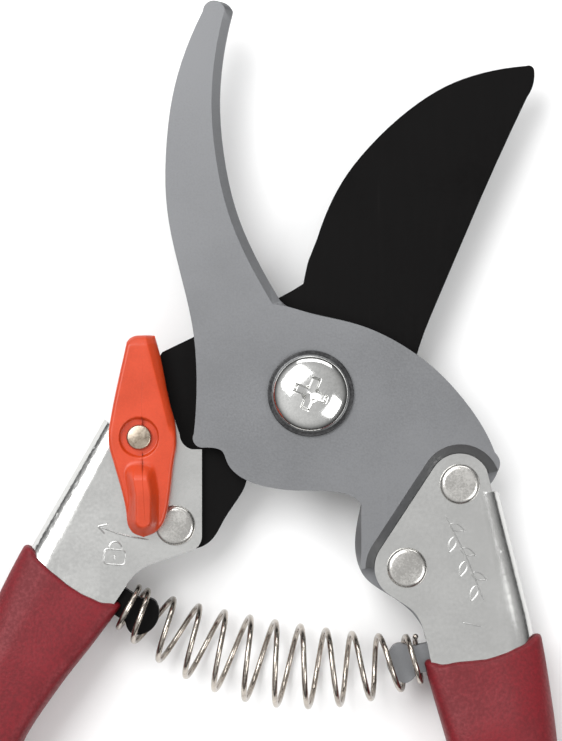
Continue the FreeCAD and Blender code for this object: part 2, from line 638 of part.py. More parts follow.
def side_bevel():
    """Slope along the inner side of the nose and the middle."""
    fall = 1.2
    wide = 4.0
    corners = [(0.0, LEVER_TOP), (wide, LEVER_TOP), (wide, LEVER_TOP - fall * wide)]
    points = [Vector(x, 0.0, z) for x, z in corners]
    bevel = Part.Face(Part.makePolygon(points + points[:1])).extrude(Vector(0, 22.0, 0))
    bevel.rotate(Vector(0, 0, 0), Vector(0, 0, 1), 14.1)
    bevel.translate(Vector(-25.1, -7.2, 0))
    return bevel


# ---- return spring -----------------------------------------------------------------------
def return_spring():
    """Barrel spring on a sagging axis, with one closed turn at each end."""
    chord, half_angle, radius = spring_arc()
    length = 2.0 * half_angle * radius
    middle = (0.5 * (SPRING_LEFT[0] + SPRING_RIGHT[0]), 0.5 * (SPRING_LEFT[1] + SPRING_RIGHT[1]))
    lift = rotate((0.0, radius * math.cos(half_angle)), chord)
    centre = (middle[0] + lift[0], middle[1] + lift[1])
    per_turn = 16
    live_turns = SPRING_TURNS - 2
    live_pitch = (length - 2.0 * SPRING_DEAD_PITCH) / live_turns
    points = []
    for step in range(SPRING_TURNS * per_turn + 1):
        turn = step / per_turn
        axial = SPRING_DEAD_PITCH * min(turn, 1.0)
        axial += live_pitch * min(max(turn - 1.0, 0.0), live_turns)
        axial += SPRING_DEAD_PITCH * max(turn - 1.0 - live_turns, 0.0)
        share = axial / length
        coil_r = SPRING_END_R + (SPRING_MIDDLE_R - SPRING_END_R) * math.sin(math.pi * share)
        phase = 2.0 * math.pi * turn
        heading = spring_direction(share)
        on_axis = polar(centre, radius, heading - 90.0)
        across = polar((0.0, 0.0), coil_r * math.cos(phase), heading + 90.0)
        points.append(Vector(on_axis[0] + across[0], on_axis[1] + across[1],
                             MID_Z + coil_r * math.sin(phase)))
    curve = Part.BSplineCurve()
    curve.interpolate(points)
    path = Part.Wire(curve.toShape())
    section = Part.Wire(Part.Circle(points[0], curve.tangent(curve.FirstParameter)[0],
                                    SPRING_WIRE_R).toShape())
    return path.makePipeShell([section], True, True)


def build():
    right_handle, right_grip = right_handle_and_grip()
    left_handle, left_grip = left_handle_and_grip()
    hook = counter_blade()
    blade = cutting_blade()
    return {
        "counter_blade": hook,
        "cutting_blade": blade,
        "right_handle": right_handle,
        "left_handle": left_handle,
        "right_grip": right_grip.cut(hook),
        "left_grip": left_grip.cut(blade),
        "right_upper_rivet": cheek_rivet(RIGHT_UPPER_RIVET),
        "right_lower_rivet": cheek_rivet(RIGHT_LOWER_RIVET),
        "left_blade_rivet": cheek_rivet(LEFT_BLADE_RIVET),
        "lever_rivet": lever_rivet(),
        "lock_lever": lock_lever(),
        "lever_wave_washer": wave_washer(),
        "pivot_screw": pivot_screw(),
        "front_washer": front_washer(),
        "pivot_bush": pivot_bush(),
        "rear_washer": rear_washer(),
        "lock_washer": lock_washer(),
        "pivot_nut": pivot_nut(),
        "return_spring": return_spring(),
    }


os.makedirs("parts", exist_ok=True)
for name, shape in build().items():
    if not shape.isValid() or not shape.Solids:
        print("check", name, shape.isValid(), len(shape.Solids))
    shape.exportStep("parts/" + name + ".step")
    print(name, len(shape.Solids), round(shape.Volume, 1), shape.isValid())
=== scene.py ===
"""Pruning shears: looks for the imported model, laid out as an add-on and run as a script."""

import json
import math

import bmesh
import bpy
import numpy as np
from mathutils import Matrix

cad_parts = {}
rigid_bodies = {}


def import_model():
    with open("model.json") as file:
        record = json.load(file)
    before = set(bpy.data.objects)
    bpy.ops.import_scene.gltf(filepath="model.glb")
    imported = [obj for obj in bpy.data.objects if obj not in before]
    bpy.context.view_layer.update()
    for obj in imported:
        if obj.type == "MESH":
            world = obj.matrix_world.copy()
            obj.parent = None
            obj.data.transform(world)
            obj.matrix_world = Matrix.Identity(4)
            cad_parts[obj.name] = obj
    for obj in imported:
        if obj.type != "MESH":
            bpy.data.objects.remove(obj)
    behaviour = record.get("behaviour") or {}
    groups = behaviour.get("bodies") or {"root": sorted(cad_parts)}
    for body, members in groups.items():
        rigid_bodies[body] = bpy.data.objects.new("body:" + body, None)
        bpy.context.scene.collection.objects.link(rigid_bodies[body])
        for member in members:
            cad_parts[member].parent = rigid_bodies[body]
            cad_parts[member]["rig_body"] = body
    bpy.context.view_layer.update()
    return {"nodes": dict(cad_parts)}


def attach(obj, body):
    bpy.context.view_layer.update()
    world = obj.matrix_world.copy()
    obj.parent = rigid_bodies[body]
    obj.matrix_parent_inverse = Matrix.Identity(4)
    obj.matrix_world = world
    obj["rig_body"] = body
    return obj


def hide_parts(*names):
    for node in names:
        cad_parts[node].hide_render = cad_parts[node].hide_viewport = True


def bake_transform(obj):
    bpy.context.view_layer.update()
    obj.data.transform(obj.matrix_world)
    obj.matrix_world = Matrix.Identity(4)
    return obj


bl_info = {
    "name": "Pruning Shears",
    "version": (1, 0, 0),
    "blender": (4, 5, 0),
    "location": "View3D > Sidebar > Shears",
    "description": "Finished surfaces, studio and camera of a pair of pruning shears",
    "category": "Add Mesh",
}

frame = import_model()

MM = 0.001
HOOK_HALF = "counter_blade_half"
BLADE_HALF = "cutting_blade_half"
LEVER = "lever"

# Planes and places that the pieces are set on, in millimetres of the shared frame.
SHEET_FRONT = 11.15
MID_PLANE = 8.2
AXIS_LEAN = math.radians(14.4)
OPENING = math.radians(45.0)


# ---- numbers and arrays --------------------------------------------------------------------
def linear(red, green, blue):
    """Scene-linear colour of a display colour given as three numbers up to 255."""
    shares = np.array([red, green, blue]) / 255.0
    low = shares / 12.92
    high = ((shares + 0.055) / 1.055) ** 2.4
    return tuple(float(value) for value in np.where(shares <= 0.04045, low, high))


def turn(points, angle):
    """Rows of (x, y) turned about the pivot by an angle in radians."""
    cosine, sine = math.cos(angle), math.sin(angle)
    return points @ np.array([[cosine, sine], [-sine, cosine]])


def folded_to_frame(u, w, side):
    """A handle's own measures, u down from the pivot and w out from the axis, as frame x and y.

    The right handle leans by AXIS_LEAN. The left one is its mirror image, swung open by OPENING."""
    down = u * math.sin(AXIS_LEAN) + side * w * math.cos(AXIS_LEAN)
    up = -u * math.cos(AXIS_LEAN) + side * w * math.sin(AXIS_LEAN)
    flat = np.stack([down, up], axis=-1)
    return flat if side > 0 else turn(flat, -OPENING)


def smooth_table(table, where):
    """Value of a table of (place, value) pairs along a smooth curve that never overshoots them.

    Each span is a cubic whose end slopes are the harmonic mean of its neighbours' slopes."""
    places, values = np.array(table, float).T
    rise = np.diff(values) / np.diff(places)
    product = rise[:-1] * rise[1:]
    total = np.where(product > 0, rise[:-1] + rise[1:], 1.0)
    inner = np.where(product > 0, 2.0 * product / total, 0.0)
    slopes = np.concatenate([rise[:1], inner, rise[-1:]])
    where = np.clip(where, places[0], places[-1])
    span = np.clip(np.searchsorted(places, where, side="right") - 1, 0, len(places) - 2)
    width = places[span + 1] - places[span]
    t = (where - places[span]) / width
    return ((1 + 2 * t) * (1 - t) ** 2 * values[span] + t * (1 - t) ** 2 * width * slopes[span]
            + t * t * (3 - 2 * t) * values[span + 1] + t * t * (t - 1) * width * slopes[span + 1])


def smooth_line(points, count):
    """A line of count points through the given ones, by smooth_table over the length along them."""
    points = np.array(points, float)
    steps = np.linalg.norm(np.diff(points, axis=0), axis=1)
    along = np.concatenate([[0.0], np.cumsum(steps)])
    where = np.linspace(0.0, along[-1], count)
    columns = [smooth_table(np.stack([along, column], axis=1), where) for column in points.T]
    return np.stack(columns, axis=1)


# ---- meshes --------------------------------------------------------------------------------
def grid_faces(rows, columns, closed_columns=False):
    """Quads of a grid of rows x columns points, whose last column meets the first if asked."""
    row = np.arange(rows - 1)
    column = np.arange(columns if closed_columns else columns - 1)
    i, j = np.meshgrid(row, column, indexing="ij")
    down, right = i + 1, (j + 1) % columns
    corners = (i * columns + j, down * columns + j, down * columns + right, i * columns + right)
    return np.stack(corners, axis=-1).reshape(-1, 4)


def new_piece(name, points, faces, body, slot, share=None, fill=False):
    """A smooth mesh object from arrays of points in millimetres and of quads, riding on a body.

    The share, if there is one, is kept as a point attribute of that name. Fill closes the last
    seam."""
    mesh = bpy.data.meshes.new(name)
    mesh.vertices.add(len(points))
    mesh.vertices.foreach_set("co", (np.asarray(points) * MM).astype(np.float32).ravel())
    mesh.loops.add(faces.size)
    mesh.loops.foreach_set("vertex_index", faces.ravel().astype(np.int32))
    mesh.polygons.add(len(faces))
    starts = np.arange(0, faces.size, faces.shape[1], dtype=np.int32)
    mesh.polygons.foreach_set("loop_start", starts)
    mesh.update(calc_edges=True)
    if share is not None:
        mesh.attributes.new("share", "FLOAT", "POINT").data.foreach_set("value", share)
    shape = bmesh.new()
    shape.from_mesh(mesh)
    bmesh.ops.remove_doubles(shape, verts=shape.verts, dist=1e-7)
    if fill:
        bmesh.ops.holes_fill(shape, edges=shape.edges, sides=0)
    bmesh.ops.recalc_face_normals(shape, faces=shape.faces)
    shape.to_mesh(mesh)
    shape.free()
    mesh.shade_smooth()
    return place_piece(name, mesh, body)


def ringed_piece(name, surface, body, slot, finish, **kept):
    """A piece from rings of points, each closed on itself, in one finish."""
    faces = grid_faces(*surface.shape[:2], closed_columns=True)
    piece = new_piece(name, surface.reshape(-1, 3), faces, body, slot, **kept)
    piece.data.materials.append(ShearsFinishes.get(finish))
    return piece


def place_piece(name, mesh, body):
    """An object for a mesh, in the scene, riding on a body if one is given."""
    piece = bpy.data.objects.new(name, mesh)
    bpy.context.scene.collection.objects.link(piece)
    if body:
        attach(piece, body)
    return piece


def dressed_copy(node, name, edge, materials, crease=32.0, segments=2):
    """A merged copy of a CAD part with broken edges, which stands for that part.

    Triangles in one plane become one face, so a bevel of width edge (millimetres) runs along every
    edge sharper than crease (degrees). The bevel takes the last material."""
    source = frame["nodes"][node]
    mesh = source.data.copy()
    mesh.materials.clear()
    shape = bmesh.new()
    shape.from_mesh(mesh)
    bmesh.ops.remove_doubles(shape, verts=shape.verts, dist=1.5e-6)
    bmesh.ops.dissolve_limit(shape, angle_limit=math.radians(0.5), use_dissolve_boundaries=False,
                             verts=shape.verts, edges=shape.edges)
    for face in shape.faces:
        face.material_index = 0
    shape.to_mesh(mesh)
    shape.free()
    mesh.shade_smooth()
    mesh.set_sharp_from_angle(angle=math.radians(crease))
    for material in materials:
        mesh.materials.append(material)
    piece = place_piece(name, mesh, source["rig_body"])
    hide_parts(node)
    if edge > 0.0:
        bevel = piece.modifiers.new("broken edges", "BEVEL")
        bevel.limit_method = "ANGLE"
        bevel.angle_limit = math.radians(crease)
        bevel.width = edge * MM
        bevel.segments = segments
        bevel.use_clamp_overlap = True
        bevel.harden_normals = True
        # For the blades the last material is painted lighter (highlight), for the handles darker
        # (shade), on the broken edges.
        bevel.material = len(materials) - 1
    return piece


# ---- node building -------------------------------------------------------------------------
def add_node(tree, kind, links=None, values=None, **settings):
    """A node of one kind, with its settings, its inputs' values and the sockets linked to them."""
    node = tree.nodes.new(kind)
    for key, value in settings.items():
        setattr(node, key, value)
    for key, value in (values or {}).items():
        node.inputs[key].default_value = value
    for key, source in (links or {}).items():
        tree.links.new(source, node.inputs[key])
    return node


def scaled(tree, value, low, high, start=0.0, end=1.0):
    """A mask's stretch from start to end, turned smoothly into the stretch from low to high."""
    node = add_node(tree, "ShaderNodeMapRange", {"Value": value},
                    {"From Min": start, "From Max": end, "To Min": low, "To Max": high},
                    interpolation_type="SMOOTHSTEP")
    return node.outputs["Result"]


def blended(tree, mask, first, second):
    """A colour that goes from the first to the second as a mask goes from 0 to 1."""
    node = add_node(tree, "ShaderNodeMix", {"Factor": mask}, data_type="RGBA")
    for index, colour in ((6, first), (7, second)):
        if isinstance(colour, bpy.types.NodeSocket):
            tree.links.new(colour, node.inputs[index])
        else:
            node.inputs[index].default_value = tuple(colour) + (1.0,)
    return node.outputs[2]


def combined(tree, operation, first, second):
    """Two masks, or a mask and a number, put together by one arithmetic step."""
    node = add_node(tree, "ShaderNodeMath", operation=operation)
    for index, value in enumerate((first, second)):
        if isinstance(value, bpy.types.NodeSocket):
            tree.links.new(value, node.inputs[index])
        else:
            node.inputs[index].default_value = value
    return node.outputs[0]


def object_place(tree, scale=(1.0, 1.0, 1.0), angle=0.0):
    """Place on the object, stretched along its axes and turned about Z."""
    place = add_node(tree, "ShaderNodeTexCoord").outputs["Object"]
    mapping = add_node(tree, "ShaderNodeMapping", {"Vector": place},
                       {"Scale": scale, "Rotation": (0.0, 0.0, angle)})
    return mapping.outputs["Vector"]


def new_group(name, inputs, outputs):
    """An empty node group with named float or vector inputs and float outputs."""
    tree = bpy.data.node_groups.new(name, "ShaderNodeTree")
    for label, kind, value in inputs:
        socket = tree.interface.new_socket(label, in_out="INPUT", socket_type=kind)
        if value is not None:
            socket.default_value = value
    for label in outputs:
        tree.interface.new_socket(label, in_out="OUTPUT", socket_type="NodeSocketFloat")
    return tree, tree.nodes.new("NodeGroupInput").outputs, tree.nodes.new("NodeGroupOutput").inputs


def mottle_group():
    """Broad clouds and fine specks in one mask: noise at two scales, mixed."""
    tree, given, result = new_group(
        "mottle", (("Vector", "NodeSocketVector", None), ("Cloud Scale", "NodeSocketFloat", 90.0),
                   ("Speck Scale", "NodeSocketFloat", 2400.0),
                   ("Speck Share", "NodeSocketFloat", 0.4)), ("Mask", "Specks"))
    cloud = add_node(tree, "ShaderNodeTexNoise",
                     {"Vector": given["Vector"], "Scale": given["Cloud Scale"]}, {"Detail": 4.0})
    speck = add_node(tree, "ShaderNodeTexNoise",
                     {"Vector": given["Vector"], "Scale": given["Speck Scale"]}, {"Detail": 2.0})
    mixed = add_node(tree, "ShaderNodeMix", {"Factor": given["Speck Share"]}, data_type="FLOAT")
    tree.links.new(cloud.outputs["Fac"], mixed.inputs[2])
    tree.links.new(speck.outputs["Fac"], mixed.inputs[3])
    tree.links.new(mixed.outputs[0], result["Mask"])
    tree.links.new(speck.outputs["Fac"], result["Specks"])
    return tree


def scratch_group():
    """Hair scratches in two directions: noise stretched along each, kept where it is highest."""
    tree, given, result = new_group(
        "hair_scratches", (("Vector", "NodeSocketVector", None),
                           ("Scale", "NodeSocketFloat", 300.0),
                           ("Rarity", "NodeSocketFloat", 0.68)), ("Mask",))
    layers = []
    for angle, stretch in ((0.5, 0.035), (-0.9, 0.05)):
        turned = add_node(tree, "ShaderNodeMapping", {"Vector": given["Vector"]},
                          {"Rotation": (0.0, 0.0, angle), "Scale": (1.0, stretch, 1.0)})
        noise = add_node(tree, "ShaderNodeTexNoise",
                         {"Vector": turned.outputs["Vector"], "Scale": given["Scale"]},
                         {"Detail": 3.0})
        peak = add_node(tree, "ShaderNodeMapRange",
                        {"Value": noise.outputs["Fac"], "From Min": given["Rarity"]},
                        {"From Max": 0.9})
        layers.append(peak.outputs["Result"])
    tree.links.new(combined(tree, "MAXIMUM", *layers), result["Mask"])
    return tree


def bend_group():
    """Where a surface turns away from the flat of the tool: 0 on the flat, 1 on the bends."""
    tree, _, result = new_group("bend_mask", (), ("Mask",))
    normal = add_node(tree, "ShaderNodeTexCoord").outputs["Normal"]
    height = add_node(tree, "ShaderNodeSeparateXYZ", {"Vector": normal}).outputs["Z"]
    level = combined(tree, "ABSOLUTE", height, 0.0)
    tree.links.new(scaled(tree, level, 1.0, 0.0, 0.7, 0.995), result["Mask"])
    return tree


def use_group(tree, group, place=None, **values):
    """A group's node in a material, with its own values."""
    node = add_node(tree, "ShaderNodeGroup", node_tree=group)
    if place is not None:
        tree.links.new(place, node.inputs["Vector"])
    for key, value in values.items():
        node.inputs[key.replace("_", " ").title()].default_value = value
    return node.outputs


def raised(tree, height, depth, previous=None):
    """A bump of the given depth in millimetres, on top of another one if there is one."""
    node = add_node(tree, "ShaderNodeBump", {"Height": height},
                    {"Strength": 1.0, "Distance": depth * MM})
    if previous is not None:
        tree.links.new(previous, node.inputs["Normal"])
    return node.outputs["Normal"]


def start_material(name):
    """A new material, its node tree and its Principled shader."""
    material = bpy.data.materials.new(name)
    material.use_nodes = True
    tree = material.node_tree
    return material, tree, tree.nodes["Principled BSDF"]


# ---- finishes ------------------------------------------------------------------------------
def steel_finish(name, groups, pale, dark, smooth, rough, cloud=70.0, speck=2200.0, grain=0.004,
                 scratches=0.3, peel=0.0):
    """Steel: cloudy tone, fine grain, hair scratches, and an orange-peel skin on its bends."""
    material, tree, shader = start_material(name)
    place = object_place(tree)
    mottle = use_group(tree, groups["mottle"], place, cloud_scale=cloud, speck_scale=speck,
                       speck_share=0.45)
    scratch = use_group(tree, groups["scratch"], place)["Mask"]
    bend = use_group(tree, groups["bend"])["Mask"]
    tone = blended(tree, scaled(tree, mottle["Mask"], 0.0, 1.0, 0.32, 0.68), dark, pale)
    scratch_mask = combined(tree, "MULTIPLY", scratch, scratches)
    brighter = tuple(min(1.0, 1.25 * value + 0.04) for value in pale)
    tone = blended(tree, scratch_mask, tone, brighter)
    tree.links.new(tone, shader.inputs["Base Color"])
    polish = scaled(tree, mottle["Mask"], smooth, rough, 0.3, 0.7)
    gloss = combined(tree, "MULTIPLY", scratch_mask, 0.1)
    tree.links.new(combined(tree, "SUBTRACT", polish, gloss), shader.inputs["Roughness"])
    normal = raised(tree, mottle["Specks"], grain)
    if peel:
        waves = add_node(tree, "ShaderNodeTexNoise", {"Vector": place},
                         {"Scale": 1500.0, "Detail": 1.0})
        skin = combined(tree, "MULTIPLY", waves.outputs["Fac"], bend)
        normal = raised(tree, skin, peel, normal)
    tree.links.new(normal, shader.inputs["Normal"])
    shader.inputs["Metallic"].default_value = 1.0
    return material


def coated_blade_finish(name, groups, colour, worn):
    """Black low-friction coating: faint brushed streaks, small pale nicks, a soft low shine."""
    material, tree, shader = start_material(name)
    place = object_place(tree)
    streak_place = object_place(tree, (1.0, 0.12, 1.0), 0.45)
    streaks = add_node(tree, "ShaderNodeTexNoise", {"Vector": streak_place},
                       {"Scale": 900.0, "Detail": 3.0}).outputs["Fac"]
    mottle = use_group(tree, groups["mottle"], place, cloud_scale=55.0, speck_scale=1500.0,
                       speck_share=0.35)
    nicks = use_group(tree, groups["scratch"], place, scale=420.0, rarity=0.72)["Mask"]
    lighter = tuple(1.2 * value for value in colour)
    tone = blended(tree, scaled(tree, streaks, 0.0, 1.0, 0.35, 0.75), colour, lighter)
    tone = blended(tree, combined(tree, "MULTIPLY", nicks, 0.08), tone, worn)
    tree.links.new(tone, shader.inputs["Base Color"])
    tree.links.new(scaled(tree, mottle["Mask"], 0.34, 0.56, 0.3, 0.7), shader.inputs["Roughness"])
    normal = raised(tree, streaks, 0.0002)
    tree.links.new(raised(tree, mottle["Specks"], 0.002, normal), shader.inputs["Normal"])
    shader.inputs["Specular IOR Level"].default_value = 0.08
    return material


def vinyl_finish(name, groups, colour, deep):
    """Dipped vinyl: close pebbled skin, its pebble mask painting shade, and a broad soft shine."""
    material, tree, shader = start_material(name)
    place = object_place(tree)
    mottle = use_group(tree, groups["mottle"], place, cloud_scale=120.0, speck_scale=1700.0,
                       speck_share=0.55)
    pebbles = add_node(tree, "ShaderNodeTexVoronoi", {"Vector": place},
                       {"Scale": 2600.0}, feature="SMOOTH_F1").outputs["Distance"]
    tone = blended(tree, scaled(tree, mottle["Mask"], 0.0, 1.0, 0.36, 0.64), deep, colour)
    # Painted shade: the pebble mask that raises the bump also darkens the colour towards deep.
    tone = blended(tree, scaled(tree, pebbles, 0.0, 0.3, 0.35, 0.8), tone, deep)
    tree.links.new(tone, shader.inputs["Base Color"])
    tree.links.new(scaled(tree, mottle["Mask"], 0.62, 0.46, 0.3, 0.7), shader.inputs["Roughness"])
    normal = raised(tree, pebbles, 0.025)
    tree.links.new(raised(tree, mottle["Specks"], 0.02, normal), shader.inputs["Normal"])
    shader.inputs["Specular IOR Level"].default_value = 0.35
    return material


def plastic_finish(name, groups, colour, deep):
    """Moulded plastic: even colour with faint flow clouds, a fine matt skin and light scuffs."""
    material, tree, shader = start_material(name)
    place = object_place(tree)
    mottle = use_group(tree, groups["mottle"], place, cloud_scale=140.0, speck_scale=3200.0,
                       speck_share=0.3)
    scuffs = use_group(tree, groups["scratch"], place, scale=260.0, rarity=0.66)["Mask"]
    tone = blended(tree, scaled(tree, mottle["Mask"], 0.0, 1.0, 0.3, 0.7), deep, colour)
    paler = tuple(min(1.0, 1.15 * value + 0.05) for value in colour)
    tone = blended(tree, combined(tree, "MULTIPLY", scuffs, 0.3), tone, paler)
    tree.links.new(tone, shader.inputs["Base Color"])
    tree.links.new(scaled(tree, mottle["Mask"], 0.3, 0.42, 0.3, 0.7), shader.inputs["Roughness"])
    tree.links.new(raised(tree, mottle["Specks"], 0.006), shader.inputs["Normal"])
    shader.inputs["Subsurface Weight"].default_value = 0.08
    shader.inputs["Subsurface Radius"].default_value = (0.0012, 0.0005, 0.0002)
    return material


def floor_finish(name, colour):
    """Pale studio paper with the faintest tooth."""
    material, tree, shader = start_material(name)
    place = object_place(tree)
    tooth = add_node(tree, "ShaderNodeTexNoise", {"Vector": place},
                     {"Scale": 1200.0, "Detail": 3.0}).outputs["Fac"]
    darker = tuple(0.985 * value for value in colour)
    tree.links.new(blended(tree, tooth, darker, colour), shader.inputs["Base Color"])
    tree.links.new(scaled(tree, tooth, 0.75, 0.9), shader.inputs["Roughness"])
    shader.inputs["Specular IOR Level"].default_value = 0.15
    return material


# ---- return spring -------------------------------------------------------------------------
SPRING_ENDS = ((-33.1, -38.3), (19.9, -47.8))
SPRING_SAG = 5.6
SPRING_TURNS = 12
SPRING_DEAD_PITCH = 1.75
SPRING_END_RADIUS = 4.0


def spring_axis():
    """Centre, radius, chord heading and half angle of the arc that the spring's axis follows."""
    start, end = np.array(SPRING_ENDS)
    half_chord = 0.5 * np.linalg.norm(end - start)
    radius = (half_chord ** 2 + SPRING_SAG ** 2) / (2.0 * SPRING_SAG)
    half_angle = math.asin(half_chord / radius)
    heading = math.atan2(end[1] - start[1], end[0] - start[0])
    lift = radius * math.cos(half_angle)
    centre = 0.5 * (start + end) + lift * np.array([-math.sin(heading), math.cos(heading)])
    return centre, radius, heading, half_angle


def spring_surface(wire_radius, belly_radius, around=14, per_turn=40):
    """Wire carried along a barrel coil, and how far along the axis each of its points lies.

    The coil's angle grows evenly with the turn. Its place along the axis grows by the dead pitch
    over the first and last turns and by an even pitch between them. Its radius is the end radius
    plus a half sine wave. The wire's ring is a circle square to the coil's path, and it closes
    over both ends with a quarter-circle cap."""
    centre, radius, heading, half_angle = spring_axis()
    length = 2.0 * half_angle * radius
    live_turns = SPRING_TURNS - 2
    live_pitch = (length - 2.0 * SPRING_DEAD_PITCH) / live_turns
    turn_now = np.linspace(0.0, SPRING_TURNS, SPRING_TURNS * per_turn + 1)
    axial = SPRING_DEAD_PITCH * (np.clip(turn_now, 0, 1)
                                 + np.clip(turn_now - 1 - live_turns, 0, 1))
    share = (axial + live_pitch * np.clip(turn_now - 1, 0, live_turns)) / length
    coil_radius = SPRING_END_RADIUS + (belly_radius - SPRING_END_RADIUS) * np.sin(np.pi * share)
    phase = 2.0 * np.pi * turn_now
    direction = heading + half_angle * (2.0 * share - 1.0)
    out = np.stack([-np.sin(direction), np.cos(direction)], axis=1)
    flat = centre - out * radius + out * (coil_radius * np.cos(phase))[:, None]
    path = np.column_stack([flat, MID_PLANE + coil_radius * np.sin(phase)])
    tangent = np.gradient(path, axis=0)
    tangent /= np.linalg.norm(tangent, axis=1)[:, None]
    radial = np.column_stack([out * np.cos(phase)[:, None], np.sin(phase)])
    first = radial - tangent * np.sum(radial * tangent, axis=1)[:, None]
    first /= np.linalg.norm(first, axis=1)[:, None]
    second = np.cross(tangent, first)
    cap = np.linspace(0.0, 0.5 * np.pi, 5)
    rows = np.concatenate([np.zeros(4, int), np.arange(len(path)), np.full(4, len(path) - 1)])
    ring = np.concatenate([np.sin(cap[:-1]), np.ones(len(path)), np.cos(cap[1:])])
    ahead = np.concatenate([-np.cos(cap[:-1]), np.zeros(len(path)), np.sin(cap[1:])])
    angle = np.linspace(0.0, 2.0 * np.pi, around, endpoint=False)
    circle = (np.cos(angle)[None, :, None] * first[rows][:, None, :]
              + np.sin(angle)[None, :, None] * second[rows][:, None, :])
    points = (path[rows] + wire_radius * ahead[:, None] * tangent[rows])[:, None, :] \
        + wire_radius * ring[:, None, None] * circle
    return points, np.repeat(share[rows], around)


# ---- dipped grips --------------------------------------------------------------------------
GRIP_END = 128.3
RIGHT_GRIP = {
    "side": 1.0,
    "back": ((40.0, 28.4), (50.0, 28.3), (66.0, 27.0), (84.0, 24.2), (102.0, 20.6), (118.0, 17.2),
             (131.0, 15.0)),
    "inside": ((40.0, 9.0), (51.5, 9.0), (66.0, 9.4), (84.0, 9.9), (102.0, 8.6), (118.0, 5.6),
               (131.0, 3.5)),
    "dip_line": ((43.0, -43.2), (41.0, -43.4), (38.3, -45.1), (32.8, -47.3), (27.2, -48.1),
                 (23.6, -48.6), (21.6, -47.9), (19.5, -47.4)),
}
LEFT_GRIP = {
    "side": -1.0,
    "back": ((40.0, 29.3), (50.0, 29.2), (66.0, 28.1), (84.0, 25.1), (102.0, 21.2), (118.0, 17.6),
             (131.0, 15.2)),
    "inside": ((40.0, 10.9), (46.0, 10.9), (57.0, 11.8), (68.0, 13.2), (78.5, 13.9), (90.0, 12.2),
               (104.0, 8.0), (118.0, 5.6), (131.0, 3.6)),
    "dip_line": ((-53.0, -26.6), (-50.6, -27.6), (-49.2, -29.6), (-45.0, -33.2), (-40.8, -36.1),
                 (-37.1, -37.8), (-34.9, -37.9), (-31.5, -37.2)),
}
HALF_DEPTH = ((38.0, 2.95), (47.0, 2.95), (51.5, 3.12), (58.0, 4.1), (68.0, 6.1), (84.0, 6.4),
              (102.0, 6.4), (118.0, 6.15), (131.0, 5.5))


def frame_to_folded(flat, side):
    """Frame x and y as a handle's own u and w: folded_to_frame, undone."""
    if side < 0:
        flat = turn(flat, OPENING)
    down = flat[..., 0] * math.sin(AXIS_LEAN) - flat[..., 1] * math.cos(AXIS_LEAN)
    out = flat[..., 0] * math.cos(AXIS_LEAN) + flat[..., 1] * math.sin(AXIS_LEAN)
    return down, out * side


def rounded_oblong(angle, inner_power=5.0, back_power=2.6):
    """Shares of half width and half depth round a section, by angle.

    A superellipse, |x|^n + |y|^n = 1, whose n is higher on the inner side, which is squarer, than
    on the round back, and passes smoothly from one to the other over the flat cheeks."""
    cosine, sine = np.cos(angle), np.sin(angle)
    lean = 0.5 + 0.5 * np.tanh(4.0 * cosine)
    power = 2.0 / (inner_power + (back_power - inner_power) * lean)
    return (np.sign(cosine) * np.abs(cosine) ** power, np.sign(sine) * np.abs(sine) ** power)


def grip_surface(facts, skin, around=160):
    """The dipped skin of one handle, as rings from inside the lip, over it, and down to the end.

    A ring is a rounded oblong set across the handle, from its inner edge to its back, grown by
    the skin. The first rings close the channel and rise inside the steel. They turn over at the
    lip through a half circle, whose place down the handle follows the dip line. The rest run
    evenly to the cap, where the rings shrink by a quarter ellipse to a pole."""
    side = facts["side"]
    dip_u, dip_w = frame_to_folded(np.array(facts["dip_line"]), side)
    order = np.argsort(dip_w)
    dip = np.stack([dip_w[order], dip_u[order]], axis=1)
    x, y = rounded_oblong(np.linspace(0.0, 2.0 * np.pi, around, endpoint=False))
    middle, half = 0.5 * (facts["back"][1][1] + facts["inside"][1][1]), 10.0
    lip = smooth_table(dip, middle + half * x)
    lip += 0.05 * np.sin(7.0 * x + 2.0 * np.sign(y)) + 0.03 * np.sin(17.0 * x + y)

    fold = np.linspace(-0.5 * np.pi, 0.5 * np.pi, 11)
    cap_turn = np.linspace(0.0, 0.5 * np.pi, 18)[1:]
    cap_long = 11.0
    cap_start = GRIP_END - cap_long
    run = np.linspace(0.0, 1.0, 70)[1:, None]
    hidden = lip + np.linspace(8.0, 1.2, 5)[:, None]
    turned_over = lip + 0.7 * (1.0 - np.cos(fold))[:, None]
    outside = (lip + 0.7) * (1.0 - run) + cap_start * run
    cap = np.repeat((cap_start + cap_long * np.sin(cap_turn))[:, None], around, axis=1)
    u = np.concatenate([hidden[:1], hidden, turned_over, outside, cap])

    buried = -0.35
    rising = buried + (skin - buried) * 0.5 * (1 + np.sin(fold))
    full = np.full(len(run) + len(cap_turn), skin)
    growth = np.concatenate([np.full(6, buried), rising, full])[:, None]
    size = np.concatenate([[0.0], np.ones(5 + len(fold) + len(run)), np.cos(cap_turn)])[:, None]
    back = smooth_table(facts["back"], u) + growth
    inner = smooth_table(facts["inside"], u) - growth
    w = 0.5 * (back + inner) + 0.5 * (back - inner) * size * x
    z = MID_PLANE + (smooth_table(HALF_DEPTH, u) + growth) * size * y
    return np.concatenate([folded_to_frame(u, w, side), z[..., None]], axis=-1)


